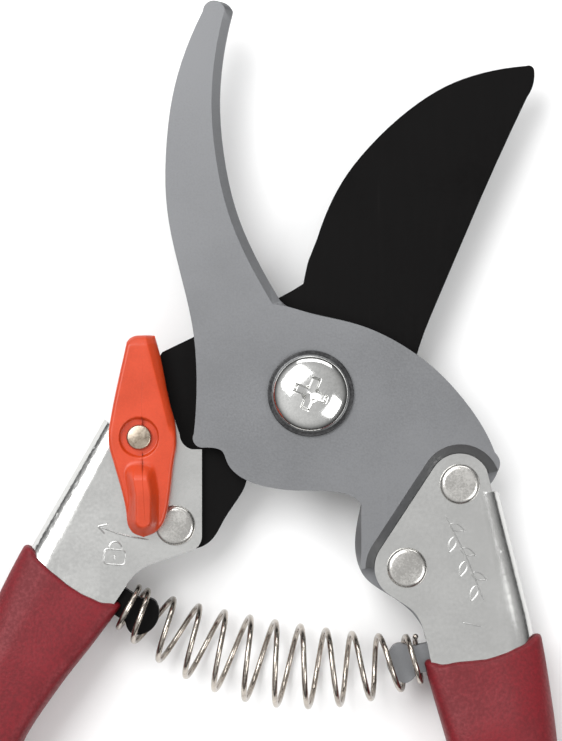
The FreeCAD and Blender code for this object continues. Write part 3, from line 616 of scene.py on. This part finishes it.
# ---- pressed marks -------------------------------------------------------------------------
def stroke(points, width=0.42, height=0.055, count=40):
    """A pressed line as a low ridge: a cosine bump carried along the line, narrowing at its ends.

    The line is smooth_line through the points. Its width goes as the root of 1 - t^6 over t from
    -1 to 1, so that both ends are round and closed."""
    line = smooth_line(points, count)
    along = np.gradient(line, axis=0)
    along /= np.linalg.norm(along, axis=1)[:, None]
    across = np.stack([-along[:, 1], along[:, 0]], axis=1)
    t = np.linspace(-1.0, 1.0, count)
    wide = 0.5 * width * np.sqrt(np.clip(1.0 - t ** 6, 0.0, 1.0))
    s = np.linspace(-1.0, 1.0, 9)
    flat = line[:, None, :] + across[:, None, :] * (wide[:, None] * s[None, :])[..., None]
    bump = height * (0.5 + 0.5 * np.cos(np.pi * s))[None, :] * (wide / (0.5 * width))[:, None]
    return np.concatenate([flat, (SHEET_FRONT - 0.004 + bump)[..., None]], axis=-1)


def leaf_outline(root, heading, length, wide):
    """Closed leaf: half widths go as sin(pi t) skewed towards the root, along the heading."""
    t = np.linspace(0.0, 1.0, 17)
    half = 0.5 * wide * np.sin(np.pi * t ** 0.8)
    along = np.array([math.cos(heading), math.sin(heading)])
    across = np.array([-along[1], along[0]])
    upper = np.array(root) + length * t[:, None] * along + half[:, None] * across
    lower = np.array(root) + length * t[:, None] * along - half[:, None] * across
    return np.concatenate([upper, lower[-2::-1]])


def marks_surface(strokes):
    """All the strokes of one plate as one set of points and quads."""
    points, faces, offset = [], [], 0
    for surface in strokes:
        rows, columns = surface.shape[:2]
        points.append(surface.reshape(-1, 3))
        faces.append(grid_faces(rows, columns) + offset)
        offset += rows * columns
    return np.concatenate(points), np.concatenate(faces)


def shifted(points, centre, heading):
    """Flat points turned by a heading and carried to a centre."""
    return turn(np.array(points, float), heading) + np.array(centre)


def swing_arrow():
    """A shallow bow with a two-stroke head at its left end."""
    bow = [(-28.9, -26.3), (-31.5, -25.9), (-34.4, -25.2), (-37.6, -24.1)]
    return [stroke(bow, width=0.36),
            stroke([(-36.9, -25.3), (-38.2, -23.9)], width=0.36, count=16),
            stroke([(-36.3, -23.5), (-38.2, -23.9)], width=0.36, count=16)]


def padlock(centre, heading):
    """A closed padlock: a rounded body, a half-round shackle and a keyhole line."""
    turn_now = np.linspace(0.0, 2.0 * np.pi, 33)
    body = np.stack([1.9 * np.sign(np.cos(turn_now)) * np.abs(np.cos(turn_now)) ** 0.35,
                     1.35 * np.sign(np.sin(turn_now)) * np.abs(np.sin(turn_now)) ** 0.35], axis=1)
    arch = np.linspace(np.pi, 0.0, 15)
    shackle = np.stack([1.15 * np.cos(arch), 1.5 + 1.25 * np.sin(arch)], axis=1)
    keyhole = [(0.0, 0.4), (0.0, -0.5)]
    return [stroke(shifted(line, centre, heading), width=0.34, count=count)
            for line, count in ((body, 90), (shackle, 40), (keyhole, 12))]


def twig(start, end):
    """A stem with pairs of leaves that point along it."""
    start, end = np.array(start), np.array(end)
    heading = math.atan2(end[1] - start[1], end[0] - start[0])
    strokes = [stroke([start, 0.5 * (start + end) + (0.35, 0.12), end], width=0.34, count=60)]
    for share, side in ((0.1, 1), (0.24, -1), (0.38, 1), (0.52, -1), (0.66, 1), (0.8, -1)):
        root = start + share * (end - start)
        outline = leaf_outline(root, heading + side * 0.75, 3.0, 1.25)
        strokes.append(stroke(outline, width=0.26, height=0.045, count=56))
    return strokes


# ---- stop lever ----------------------------------------------------------------------------
LEVER_LOW, LEVER_NOSE_LOW, LEVER_HIGH = 11.55, 13.3, 16.15
LEVER_AXIS = (-30.6, -7.8)
LEVER_RIGHT_SIDE = ((-27.9, 10.3), (-27.0, 7.2), (-25.2, -1.8), (-24.2, -5.8), (-24.0, -9.0),
                    (-24.5, -12.6), (-25.4, -19.9), (-26.2, -22.9), (-27.8, -24.8), (-29.8, -25.6))
LEVER_LEFT_SIDE = ((-29.8, -25.6), (-31.7, -24.8), (-32.7, -23.0), (-32.9, -21.0), (-35.1, -12.4),
                   (-35.9, -9.6), (-36.1, -7.6), (-35.7, -4.6), (-32.8, 9.2))
LEVER_TIP = ((-32.8, 9.2), (-32.2, 9.9), (-31.0, 10.35), (-29.0, 10.4), (-27.9, 10.3))


def smoothstep(value, low, high):
    """0 below low, 1 above high, and 3t^2 - 2t^3 between them."""
    t = np.clip((value - low) / (high - low), 0.0, 1.0)
    return t * t * (3.0 - 2.0 * t)


def distance_to_line(points, line):
    """Shortest distance from each point to a line of straight pieces, as one array."""
    start, step = line[:-1], np.diff(line, axis=0)
    offset = points[..., None, :] - start
    t = np.clip(np.sum(offset * step, axis=-1) / np.maximum(np.sum(step * step, axis=-1), 1e-12),
                0.0, 1.0)
    return np.linalg.norm(offset - t[..., None] * step, axis=-1).min(axis=-1)


def lever_height(flat, outline):
    """Height of the lever's moulded top over the plan.

    It is the flat top, less a quarter-round along the outline, less a slope along the inner side
    of the nose and a shorter one at its tip, plus the thumb finger, a mound round a sloping line,
    less the round recess of the rivet."""
    x, y = flat[..., 0], flat[..., 1]
    edge = distance_to_line(flat, outline)
    radius = 0.75
    rim = np.clip(radius - edge, 0.0, radius)
    high = LEVER_HIGH - (radius - np.sqrt(radius ** 2 - rim ** 2))
    lean = math.radians(14.1)
    past_ridge = (x + 25.35) * math.cos(lean) + (y + 5.95) * math.sin(lean)
    slope = 1.15 * (np.sqrt(past_ridge ** 2 + 0.02) + past_ridge) / 2.0
    high -= np.minimum(slope, 2.6) * smoothstep(y, -7.6, -5.4)
    past_tip = y - 8.75
    high -= 0.75 * (np.sqrt(past_tip ** 2 + 0.02) + past_tip) / 2.0
    spine = np.array([(-30.35, -14.1), (-29.7, -18.0), (-29.75, -22.5)])
    away = distance_to_line(flat, spine)
    mound = 1.0 - smoothstep(away, 1.0, 2.9)
    high += 2.6 * mound * smoothstep(-y, 11.8, 15.4)
    from_axis = np.hypot(x - LEVER_AXIS[0], y - LEVER_AXIS[1])
    high -= 1.1 * (1.0 - smoothstep(from_axis, 3.3, 3.6))
    return high


def lever_surface(around=360, across=72):
    """The lever as rings: outwards from its middle line underneath, up the wall, and inwards over
    the top to the middle line again.

    A ring is the plan outline drawn towards the middle line, which runs from the nose to the
    finger, by a share t^1.15. The bottom rises under the nose by a short smoothstep."""
    outline = np.concatenate([smooth_line(LEVER_RIGHT_SIDE, around // 2),
                              smooth_line(LEVER_LEFT_SIDE, around // 2)[1:],
                              smooth_line(LEVER_TIP, around // 8)[1:-1]])
    middle_y = np.clip(outline[:, 1], -22.6, 7.6)
    middle_x = smooth_table(((-22.6, -29.4), (-8.0, -30.1), (7.6, -30.0)), middle_y)
    middle = np.stack([middle_x, middle_y], axis=1)
    share = np.linspace(0.0, 1.0, across) ** 1.15
    flat = outline[None] + share[:, None, None] * (middle - outline)[None]
    closed = np.concatenate([outline, outline[:1]])
    top = lever_height(flat, closed)
    wall_flat = np.repeat(outline[None], 12, axis=0)
    low = LEVER_LOW + (LEVER_NOSE_LOW - LEVER_LOW) * smoothstep(outline[:, 1], 0.2, 0.6)
    rise = np.linspace(0.0, 1.0, 13)[:-1, None]
    wall = low + (top[0] - low) * rise
    under_flat = flat[::-4]
    under = LEVER_LOW + (LEVER_NOSE_LOW - LEVER_LOW) * smoothstep(under_flat[..., 1], 0.2, 0.6)
    return np.concatenate([np.concatenate([under_flat, under[..., None]], axis=-1),
                           np.concatenate([wall_flat, wall[..., None]], axis=-1),
                           np.concatenate([flat, top[..., None]], axis=-1)])


# ---- pivot screw ---------------------------------------------------------------------------
SCREW_BASE = 13.75
SCREW_TOP = 17.05
SCREW_HEAD_RADIUS = 7.0


def screw_surface(rings=120, around=288):
    """The screw's truss head with its cross recess, and its shank, as rings about the pivot.

    The head's height over radius r is an ellipse quarter on a short rim. The recess is two crossed
    slots and a round heart, with steep smoothstep walls, and its depth falls evenly with the
    distance from the middle, to a least value. The shank closes to a pole below."""
    angle = np.linspace(0.0, 2.0 * np.pi, around, endpoint=False)
    radius = np.linspace(1.0, 0.0, rings) * (SCREW_HEAD_RADIUS - 0.05)
    x, y = radius[:, None] * np.cos(angle), radius[:, None] * np.sin(angle)
    share = radius[:, None] / SCREW_HEAD_RADIUS
    dome = SCREW_BASE + 0.55 + (SCREW_TOP - SCREW_BASE - 0.55) * np.sqrt(1.0 - share ** 2)
    swing = math.radians(68.0)
    a = np.abs(x * math.cos(swing) + y * math.sin(swing))
    b = np.abs(-x * math.sin(swing) + y * math.cos(swing))
    arm = np.maximum((1.0 - smoothstep(b, 0.55, 0.85)) * (1.0 - smoothstep(a, 2.55, 3.25)),
                     (1.0 - smoothstep(a, 0.55, 0.85)) * (1.0 - smoothstep(b, 2.55, 3.25)))
    heart = 1.0 - smoothstep(np.hypot(a, b), 0.9, 1.7)
    depth = 1.45 - 0.28 * np.hypot(a, b)
    top = dome - np.maximum(arm, heart) * np.maximum(depth, 0.35)
    head = np.stack([x, y, top], axis=-1)
    profile = np.array([(0.0, 0.0), (2.7, 0.0), (3.0, 0.3), (3.0, SCREW_BASE - 0.02),
                        (6.8, SCREW_BASE - 0.02), (6.98, SCREW_BASE + 0.12),
                        (7.0, SCREW_BASE + 0.35)])
    lower = np.stack([profile[:, :1] * np.cos(angle), profile[:, :1] * np.sin(angle),
                      np.repeat(profile[:, 1:], around, axis=1)], axis=-1)
    return np.concatenate([lower, head])


# ---- settings that a user would change -----------------------------------------------------
class ShearsSizes(bpy.types.PropertyGroup):
    wire_radius: bpy.props.FloatProperty(
        name="Wire radius", description="Half the thickness of the spring's wire, in millimetres",
        default=0.5, min=0.3, max=1.5)
    belly_radius: bpy.props.FloatProperty(
        name="Belly radius", description="Mean radius of the spring's widest coil, in millimetres",
        default=7.4, min=4.5, max=9.0)
    skin: bpy.props.FloatProperty(
        name="Grip skin", description="Thickness of the dipped vinyl, in millimetres",
        default=1.25, min=0.4, max=2.0)
    steel_edge: bpy.props.FloatProperty(
        name="Steel edge", description="Width of the broken edges of the steel, in millimetres",
        default=0.16, min=0.0, max=0.5)


class ShearsColours(bpy.types.PropertyGroup):
    hook: bpy.props.FloatVectorProperty(
        name="Hook blade", description="Satin steel of the hooked blade", subtype="COLOR",
        default=linear(128, 129, 131), min=0.0, max=1.0)
    blade: bpy.props.FloatVectorProperty(
        name="Slicing blade", description="Black coating of the slicing blade", subtype="COLOR",
        default=linear(7, 6, 6), min=0.0, max=1.0)
    sheet: bpy.props.FloatVectorProperty(
        name="Handle sheet", description="Bright plating of the folded handles", subtype="COLOR",
        default=linear(208, 208, 206), min=0.0, max=1.0)
    vinyl: bpy.props.FloatVectorProperty(
        name="Grips", description="Dipped vinyl of the grips", subtype="COLOR",
        default=linear(116, 14, 26), min=0.0, max=1.0)
    lever: bpy.props.FloatVectorProperty(
        name="Lever", description="Moulded plastic of the stop lever", subtype="COLOR",
        default=linear(196, 62, 20), min=0.0, max=1.0)
    floor: bpy.props.FloatVectorProperty(
        name="Floor", description="Studio paper under the tool", subtype="COLOR",
        default=(0.9, 0.9, 0.9), min=0.0, max=1.0)


class ShearsFinishes:
    """The materials of the tool, each built the first time that it is asked for."""

    built = {}
    groups = {}

    @classmethod
    def get(cls, name):
        """The finish of that name, with the shared groups built before the first one."""
        if not cls.groups:
            cls.groups.update(mottle=mottle_group(), scratch=scratch_group(), bend=bend_group())
        if name not in cls.built:
            cls.built[name] = cls.make(name, bpy.context.scene.shears_colours)
        return cls.built[name]

    @classmethod
    def make(cls, name, colours):
        """A new material for a finish, from the colours that the user set."""
        groups = cls.groups
        makers = {
            "hook_satin": lambda: steel_finish(
                name, groups, colours.hook, darker(colours.hook, 0.86), 0.40, 0.52,
                cloud=45.0, speck=3000.0, grain=0.006, scratches=0.16),
            # Brighter, smoother copy of the hook steel for its broken edges: painted highlight.
            "hook_edge_painted_highlight": lambda: steel_finish(
                name, groups, brighter(colours.hook, 1.25), colours.hook, 0.26, 0.4, grain=0.002),
            "blade_coating": lambda: coated_blade_finish(
                name, groups, colours.blade, linear(92, 88, 86)),
            # Grey copy of the black coating for the slicing blade's broken edges: painted
            # highlight; its pale nicks are wear.
            "blade_edge_painted_highlight": lambda: coated_blade_finish(
                name, groups, linear(54, 52, 53), linear(140, 138, 136)),
            "plated_sheet": lambda: steel_finish(
                name, groups, colours.sheet, darker(colours.sheet, 0.94), 0.16, 0.26,
                cloud=120.0, speck=1800.0, grain=0.002, scratches=0.3, peel=0.006),
            "plated_sheet_peeled": lambda: steel_finish(
                name, groups, colours.sheet, darker(colours.sheet, 0.94), 0.16, 0.26,
                cloud=120.0, speck=1800.0, grain=0.002, scratches=0.3, peel=0.07),
            # Darker copy of the plated sheet for the handles' broken edges: painted shade.
            "plated_edge_painted_shade": lambda: steel_finish(
                name, groups, colours.sheet, darker(colours.sheet, 0.8), 0.2, 0.3, peel=0.03),
            "rivet_steel": lambda: steel_finish(
                name, groups, linear(206, 204, 200), linear(182, 180, 176), 0.2, 0.34,
                cloud=260.0, speck=2600.0, grain=0.005),
            "lever_rivet_brass": lambda: steel_finish(
                name, groups, linear(190, 178, 162), linear(150, 136, 120), 0.24, 0.4,
                cloud=400.0),
            "screw_polish": lambda: steel_finish(
                name, groups, linear(222, 222, 220), linear(204, 204, 202), 0.07, 0.14,
                cloud=200.0, grain=0.001, scratches=0.35),
            # Dark grey front washer; its darkness also paints the shade ring round the screw head.
            "dark_washer": lambda: steel_finish(
                name, groups, linear(84, 84, 85), linear(60, 60, 61), 0.28, 0.42, cloud=300.0),
            "hardware_steel": lambda: steel_finish(
                name, groups, linear(192, 191, 186), linear(160, 158, 150), 0.22, 0.38,
                cloud=240.0),
            "spring_wire": lambda: steel_finish(
                name, groups, linear(202, 194, 184), linear(150, 142, 134), 0.13, 0.26,
                cloud=330.0, speck=2400.0, grain=0.004, scratches=0.25),
            # Darker copy of the sheet for the pressed marks: painted shade of the stamped grooves.
            "pressed_mark_painted_shade": lambda: steel_finish(
                name, groups, darker(colours.sheet, 0.75), darker(colours.sheet, 0.6), 0.25, 0.4),
            "grip_vinyl": lambda: vinyl_finish(
                name, groups, colours.vinyl, darker(colours.vinyl, 0.68)),
            "lever_plastic": lambda: plastic_finish(
                name, groups, colours.lever, darker(colours.lever, 0.8)),
            "studio_paper": lambda: floor_finish(name, tuple(colours.floor)),
        }
        return makers[name]()


def darker(colour, share):
    """A colour with each part cut to a share."""
    return tuple(share * value for value in colour)


def brighter(colour, share):
    """A colour with each part raised by a share, up to 1."""
    return tuple(min(1.0, share * value) for value in colour)


# ---- operators -----------------------------------------------------------------------------
class SHEARS_OT_blades(bpy.types.Operator):
    """Finish the hooked blade and the coated slicing blade"""

    bl_idname = "shears.blades"
    bl_label = "Blades"

    def execute(self, context):
        edge = context.scene.shears_sizes.steel_edge
        get = ShearsFinishes.get
        # The hook's broken edges take the brighter copy, a painted highlight.
        dressed_copy("counter_blade", "hook_blade", 1.5 * edge,
                     [get("hook_satin"), get("hook_edge_painted_highlight")], crease=24.0, segments=3)
        # The blade's broken edges take the grey copy, a painted highlight.
        dressed_copy("cutting_blade", "slicing_blade", 0.5 * edge,
                     [get("blade_coating"), get("blade_edge_painted_highlight")], crease=20.0)
        return {"FINISHED"}


class SHEARS_OT_handles(bpy.types.Operator):
    """Finish the folded handles"""

    bl_idname = "shears.handles"
    bl_label = "Handles"

    def execute(self, context):
        edge = context.scene.shears_sizes.steel_edge
        get = ShearsFinishes.get
        for side, finish in (("right", "plated_sheet"), ("left", "plated_sheet_peeled")):
            # The handles' broken edges take the darker copy, painted shade.
            dressed_copy(side + "_handle", side + "_folded_handle", 1.2 * edge,
                         [get(finish), get("plated_edge_painted_shade")], segments=3)
        return {"FINISHED"}


class SHEARS_OT_marks(bpy.types.Operator):
    """Press the swing arrow, the padlock, the twig and the short line into the handles"""

    bl_idname = "shears.marks"
    bl_label = "Pressed marks"

    def execute(self, context):
        marks = {
            "left_plate_marks": (swing_arrow() + padlock((-35.2, -29.4), math.radians(-5.0)),
                                 BLADE_HALF),
            "right_plate_marks": (twig((24.2, -22.0), (31.2, -37.6)) + [
                stroke([(27.4, -41.2), (30.8, -41.9)])], HOOK_HALF),
        }
        for name, (strokes, body) in marks.items():
            points, faces = marks_surface(strokes)
            piece = new_piece(name, points, faces, body, "plated_sheet")
            # The marks take the darker sheet, painted shade of the stamped lines.
            piece.data.materials.append(ShearsFinishes.get("pressed_mark_painted_shade"))
        return {"FINISHED"}


class SHEARS_OT_grips(bpy.types.Operator):
    """Make the dipped vinyl grips"""

    bl_idname = "shears.grips"
    bl_label = "Grips"

    def execute(self, context):
        skin = context.scene.shears_sizes.skin
        for name, facts, node, body in (
                ("right_dipped_grip", RIGHT_GRIP, "right_grip", HOOK_HALF),
                ("left_dipped_grip", LEFT_GRIP, "left_grip", BLADE_HALF)):
            piece = ringed_piece(name, grip_surface(facts, skin), body, "red_vinyl", "grip_vinyl")
            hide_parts(node)
        return {"FINISHED"}


class SHEARS_OT_fasteners(bpy.types.Operator):
    """Finish the rivets, the pivot screw and its washers, bush and nut"""

    bl_idname = "shears.fasteners"
    bl_label = "Rivets and pivot"

    def execute(self, context):
        get = ShearsFinishes.get
        for node in ("right_upper_rivet", "right_lower_rivet", "left_blade_rivet"):
            dressed_copy(node, node + "_head", 0.1, [get("rivet_steel")])
        dressed_copy("lever_rivet", "lever_rivet_head", 0.08,
                     [get("lever_rivet_brass")])
        screw = ringed_piece("cross_recessed_screw", screw_surface(), HOOK_HALF,
                             "polished_screw", "screw_polish")
        screw.data.set_sharp_from_angle(angle=math.radians(50.0))
        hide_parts("pivot_screw")
        # The washer's dark grey also stands in for shade round the screw head.
        dressed_copy("front_washer", "front_flat_washer", 0.15,
                     [get("dark_washer")])
        for node in ("pivot_bush", "rear_washer", "lock_washer", "pivot_nut"):
            dressed_copy(node, node + "_finished", 0.12,
                         [get("hardware_steel")])
        return {"FINISHED"}


class SHEARS_OT_lever(bpy.types.Operator):
    """Finish the moulded stop lever and the wave washer under it"""

    bl_idname = "shears.lever"
    bl_label = "Stop lever"

    def execute(self, context):
        lever = ringed_piece("stop_lever", lever_surface(), LEVER, "orange_plastic",
                             "lever_plastic", fill=True)
        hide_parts("lock_lever")
        dressed_copy("lever_wave_washer", "wave_washer", 0.05,
                     [ShearsFinishes.get("hardware_steel")])
        return {"FINISHED"}


class SHEARS_OT_spring(bpy.types.Operator):
    """Wind the barrel spring between the two seats"""

    bl_idname = "shears.spring"
    bl_label = "Return spring"

    def execute(self, context):
        sizes = context.scene.shears_sizes
        surface, share = spring_surface(sizes.wire_radius, sizes.belly_radius)
        piece = ringed_piece("coil_spring", surface, None, "spring_steel", "spring_wire",
                             share=share)
        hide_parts("return_spring")
        follow_both_seats(piece)
        return {"FINISHED"}


def follow_both_seats(piece):
    """Bakes the wire's place into its mesh and reads back how far along the coil each point lies.
    """
    left, right = (tuple(MM * value for value in (*end, MID_PLANE)) for end in SPRING_ENDS)
    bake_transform(piece)
    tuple(left)
    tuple(right)
    share = np.zeros(len(piece.data.vertices), np.float32)
    piece.data.attributes["share"].data.foreach_get("value", share)


class SHEARS_OT_studio(bpy.types.Operator):
    """Set the pale floor, the soft lights, the sky that the steel mirrors, and the camera"""

    bl_idname = "shears.studio"
    bl_label = "Studio"

    def execute(self, context):
        lay_floor()
        light_sky(context.scene)
        soft_light("key", (-0.42, 0.40, 0.85), 0.80, 0.60, 9.0)
        soft_light("fill", (0.55, -0.35, 0.70), 0.50, 0.50, 3.0)
        soft_light("rim", (0.10, 0.75, 0.35), 0.90, 0.20, 2.0)
        set_camera(context.scene)
        context.scene.view_settings.view_transform = "Standard"
        return {"FINISHED"}


def lay_floor():
    """A round sheet just under the tool: rings whose radius grows as the square of the ring."""
    reach, below = 2500.0, 0.06
    ring = np.linspace(0.0, 1.0, 24) ** 2 * reach
    angle = np.linspace(0.0, 2.0 * np.pi, 96, endpoint=False)
    flat = ring[:, None, None] * np.stack([np.cos(angle), np.sin(angle)], axis=-1)[None]
    points = np.concatenate([flat, np.full(flat.shape[:2] + (1,), -below)], axis=-1)
    floor = ringed_piece("studio_floor", points, None, None, "studio_paper")
    if floor.data.polygons[0].normal.z < 0:
        floor.data.flip_normals()


def light_sky(scene):
    """Bright overhead, dark near the horizon, and brighter to the left, except as seen directly."""
    world = bpy.data.worlds.new("studio")
    scene.world = world
    world.use_nodes = True
    tree = world.node_tree
    direction = add_node(tree, "ShaderNodeTexCoord").outputs["Generated"]
    parts = add_node(tree, "ShaderNodeSeparateXYZ", {"Vector": direction}).outputs
    horizon, zenith = 0.05, 0.74
    left, right = 1.25, 0.75
    level = scaled(tree, parts["Z"], horizon, zenith, 0.05, 0.8)
    side = scaled(tree, parts["X"], left, right, -0.8, 0.8)
    strength = combined(tree, "MULTIPLY", level, side)
    seen = add_node(tree, "ShaderNodeLightPath").outputs["Is Camera Ray"]
    pick = add_node(tree, "ShaderNodeMix", {"Factor": seen}, data_type="FLOAT")
    tree.links.new(strength, pick.inputs[2])
    backdrop = 0.9
    pick.inputs[3].default_value = backdrop
    background = tree.nodes["Background"]
    background.inputs["Color"].default_value = (1.0, 1.0, 1.0, 1.0)
    tree.links.new(pick.outputs[0], background.inputs["Strength"])


def soft_light(name, place, wide, tall, watts):
    """A rectangular softbox that points at the pivot."""
    data = bpy.data.lights.new(name, "AREA")
    data.shape = "RECTANGLE"
    data.size, data.size_y = wide, tall
    data.energy = watts
    light = bpy.data.objects.new(name, data)
    bpy.context.scene.collection.objects.link(light)
    light.location = place
    light.rotation_euler = (-light.location).to_track_quat("-Z", "Y").to_euler()


def set_camera(scene):
    """A long lens straight above the tool, framed on the blades, the pivot and the spring."""
    distance = 0.56
    view_width = 0.1009
    data = bpy.data.cameras.new("camera")
    data.sensor_fit = "HORIZONTAL"
    data.sensor_width = 36.0
    data.lens = 36.0 * distance / view_width
    data.clip_start = 0.01
    camera = bpy.data.objects.new("camera", data)
    scene.collection.objects.link(camera)
    camera.location = (-5.3 * MM, 4.1 * MM, SHEET_FRONT * MM + distance)
    scene.camera = camera


class SHEARS_PT_panel(bpy.types.Panel):
    """The pieces of the shears, in the order that they are made"""

    bl_idname = "SHEARS_PT_panel"
    bl_label = "Pruning Shears"
    bl_space_type = "VIEW_3D"
    bl_region_type = "UI"
    bl_category = "Shears"

    def draw(self, context):
        for group in (context.scene.shears_sizes, context.scene.shears_colours):
            box = self.layout.box()
            for key in group.__annotations__:
                box.prop(group, key)
        for operator in OPERATORS:
            self.layout.operator(operator.bl_idname)


OPERATORS = (SHEARS_OT_studio, SHEARS_OT_blades, SHEARS_OT_handles, SHEARS_OT_marks,
             SHEARS_OT_grips, SHEARS_OT_fasteners, SHEARS_OT_lever, SHEARS_OT_spring)
CLASSES = (ShearsSizes, ShearsColours) + OPERATORS + (SHEARS_PT_panel,)


def register():
    for item in CLASSES:
        bpy.utils.register_class(item)
    bpy.types.Scene.shears_sizes = bpy.props.PointerProperty(type=ShearsSizes)
    bpy.types.Scene.shears_colours = bpy.props.PointerProperty(type=ShearsColours)


def unregister():
    del bpy.types.Scene.shears_colours
    del bpy.types.Scene.shears_sizes
    for item in reversed(CLASSES):
        bpy.utils.unregister_class(item)


def main():
    register()
    for operator in OPERATORS:
        group, name = operator.bl_idname.split(".")
        getattr(getattr(bpy.ops, group), name)()


if __name__ == "__main__":
    main()
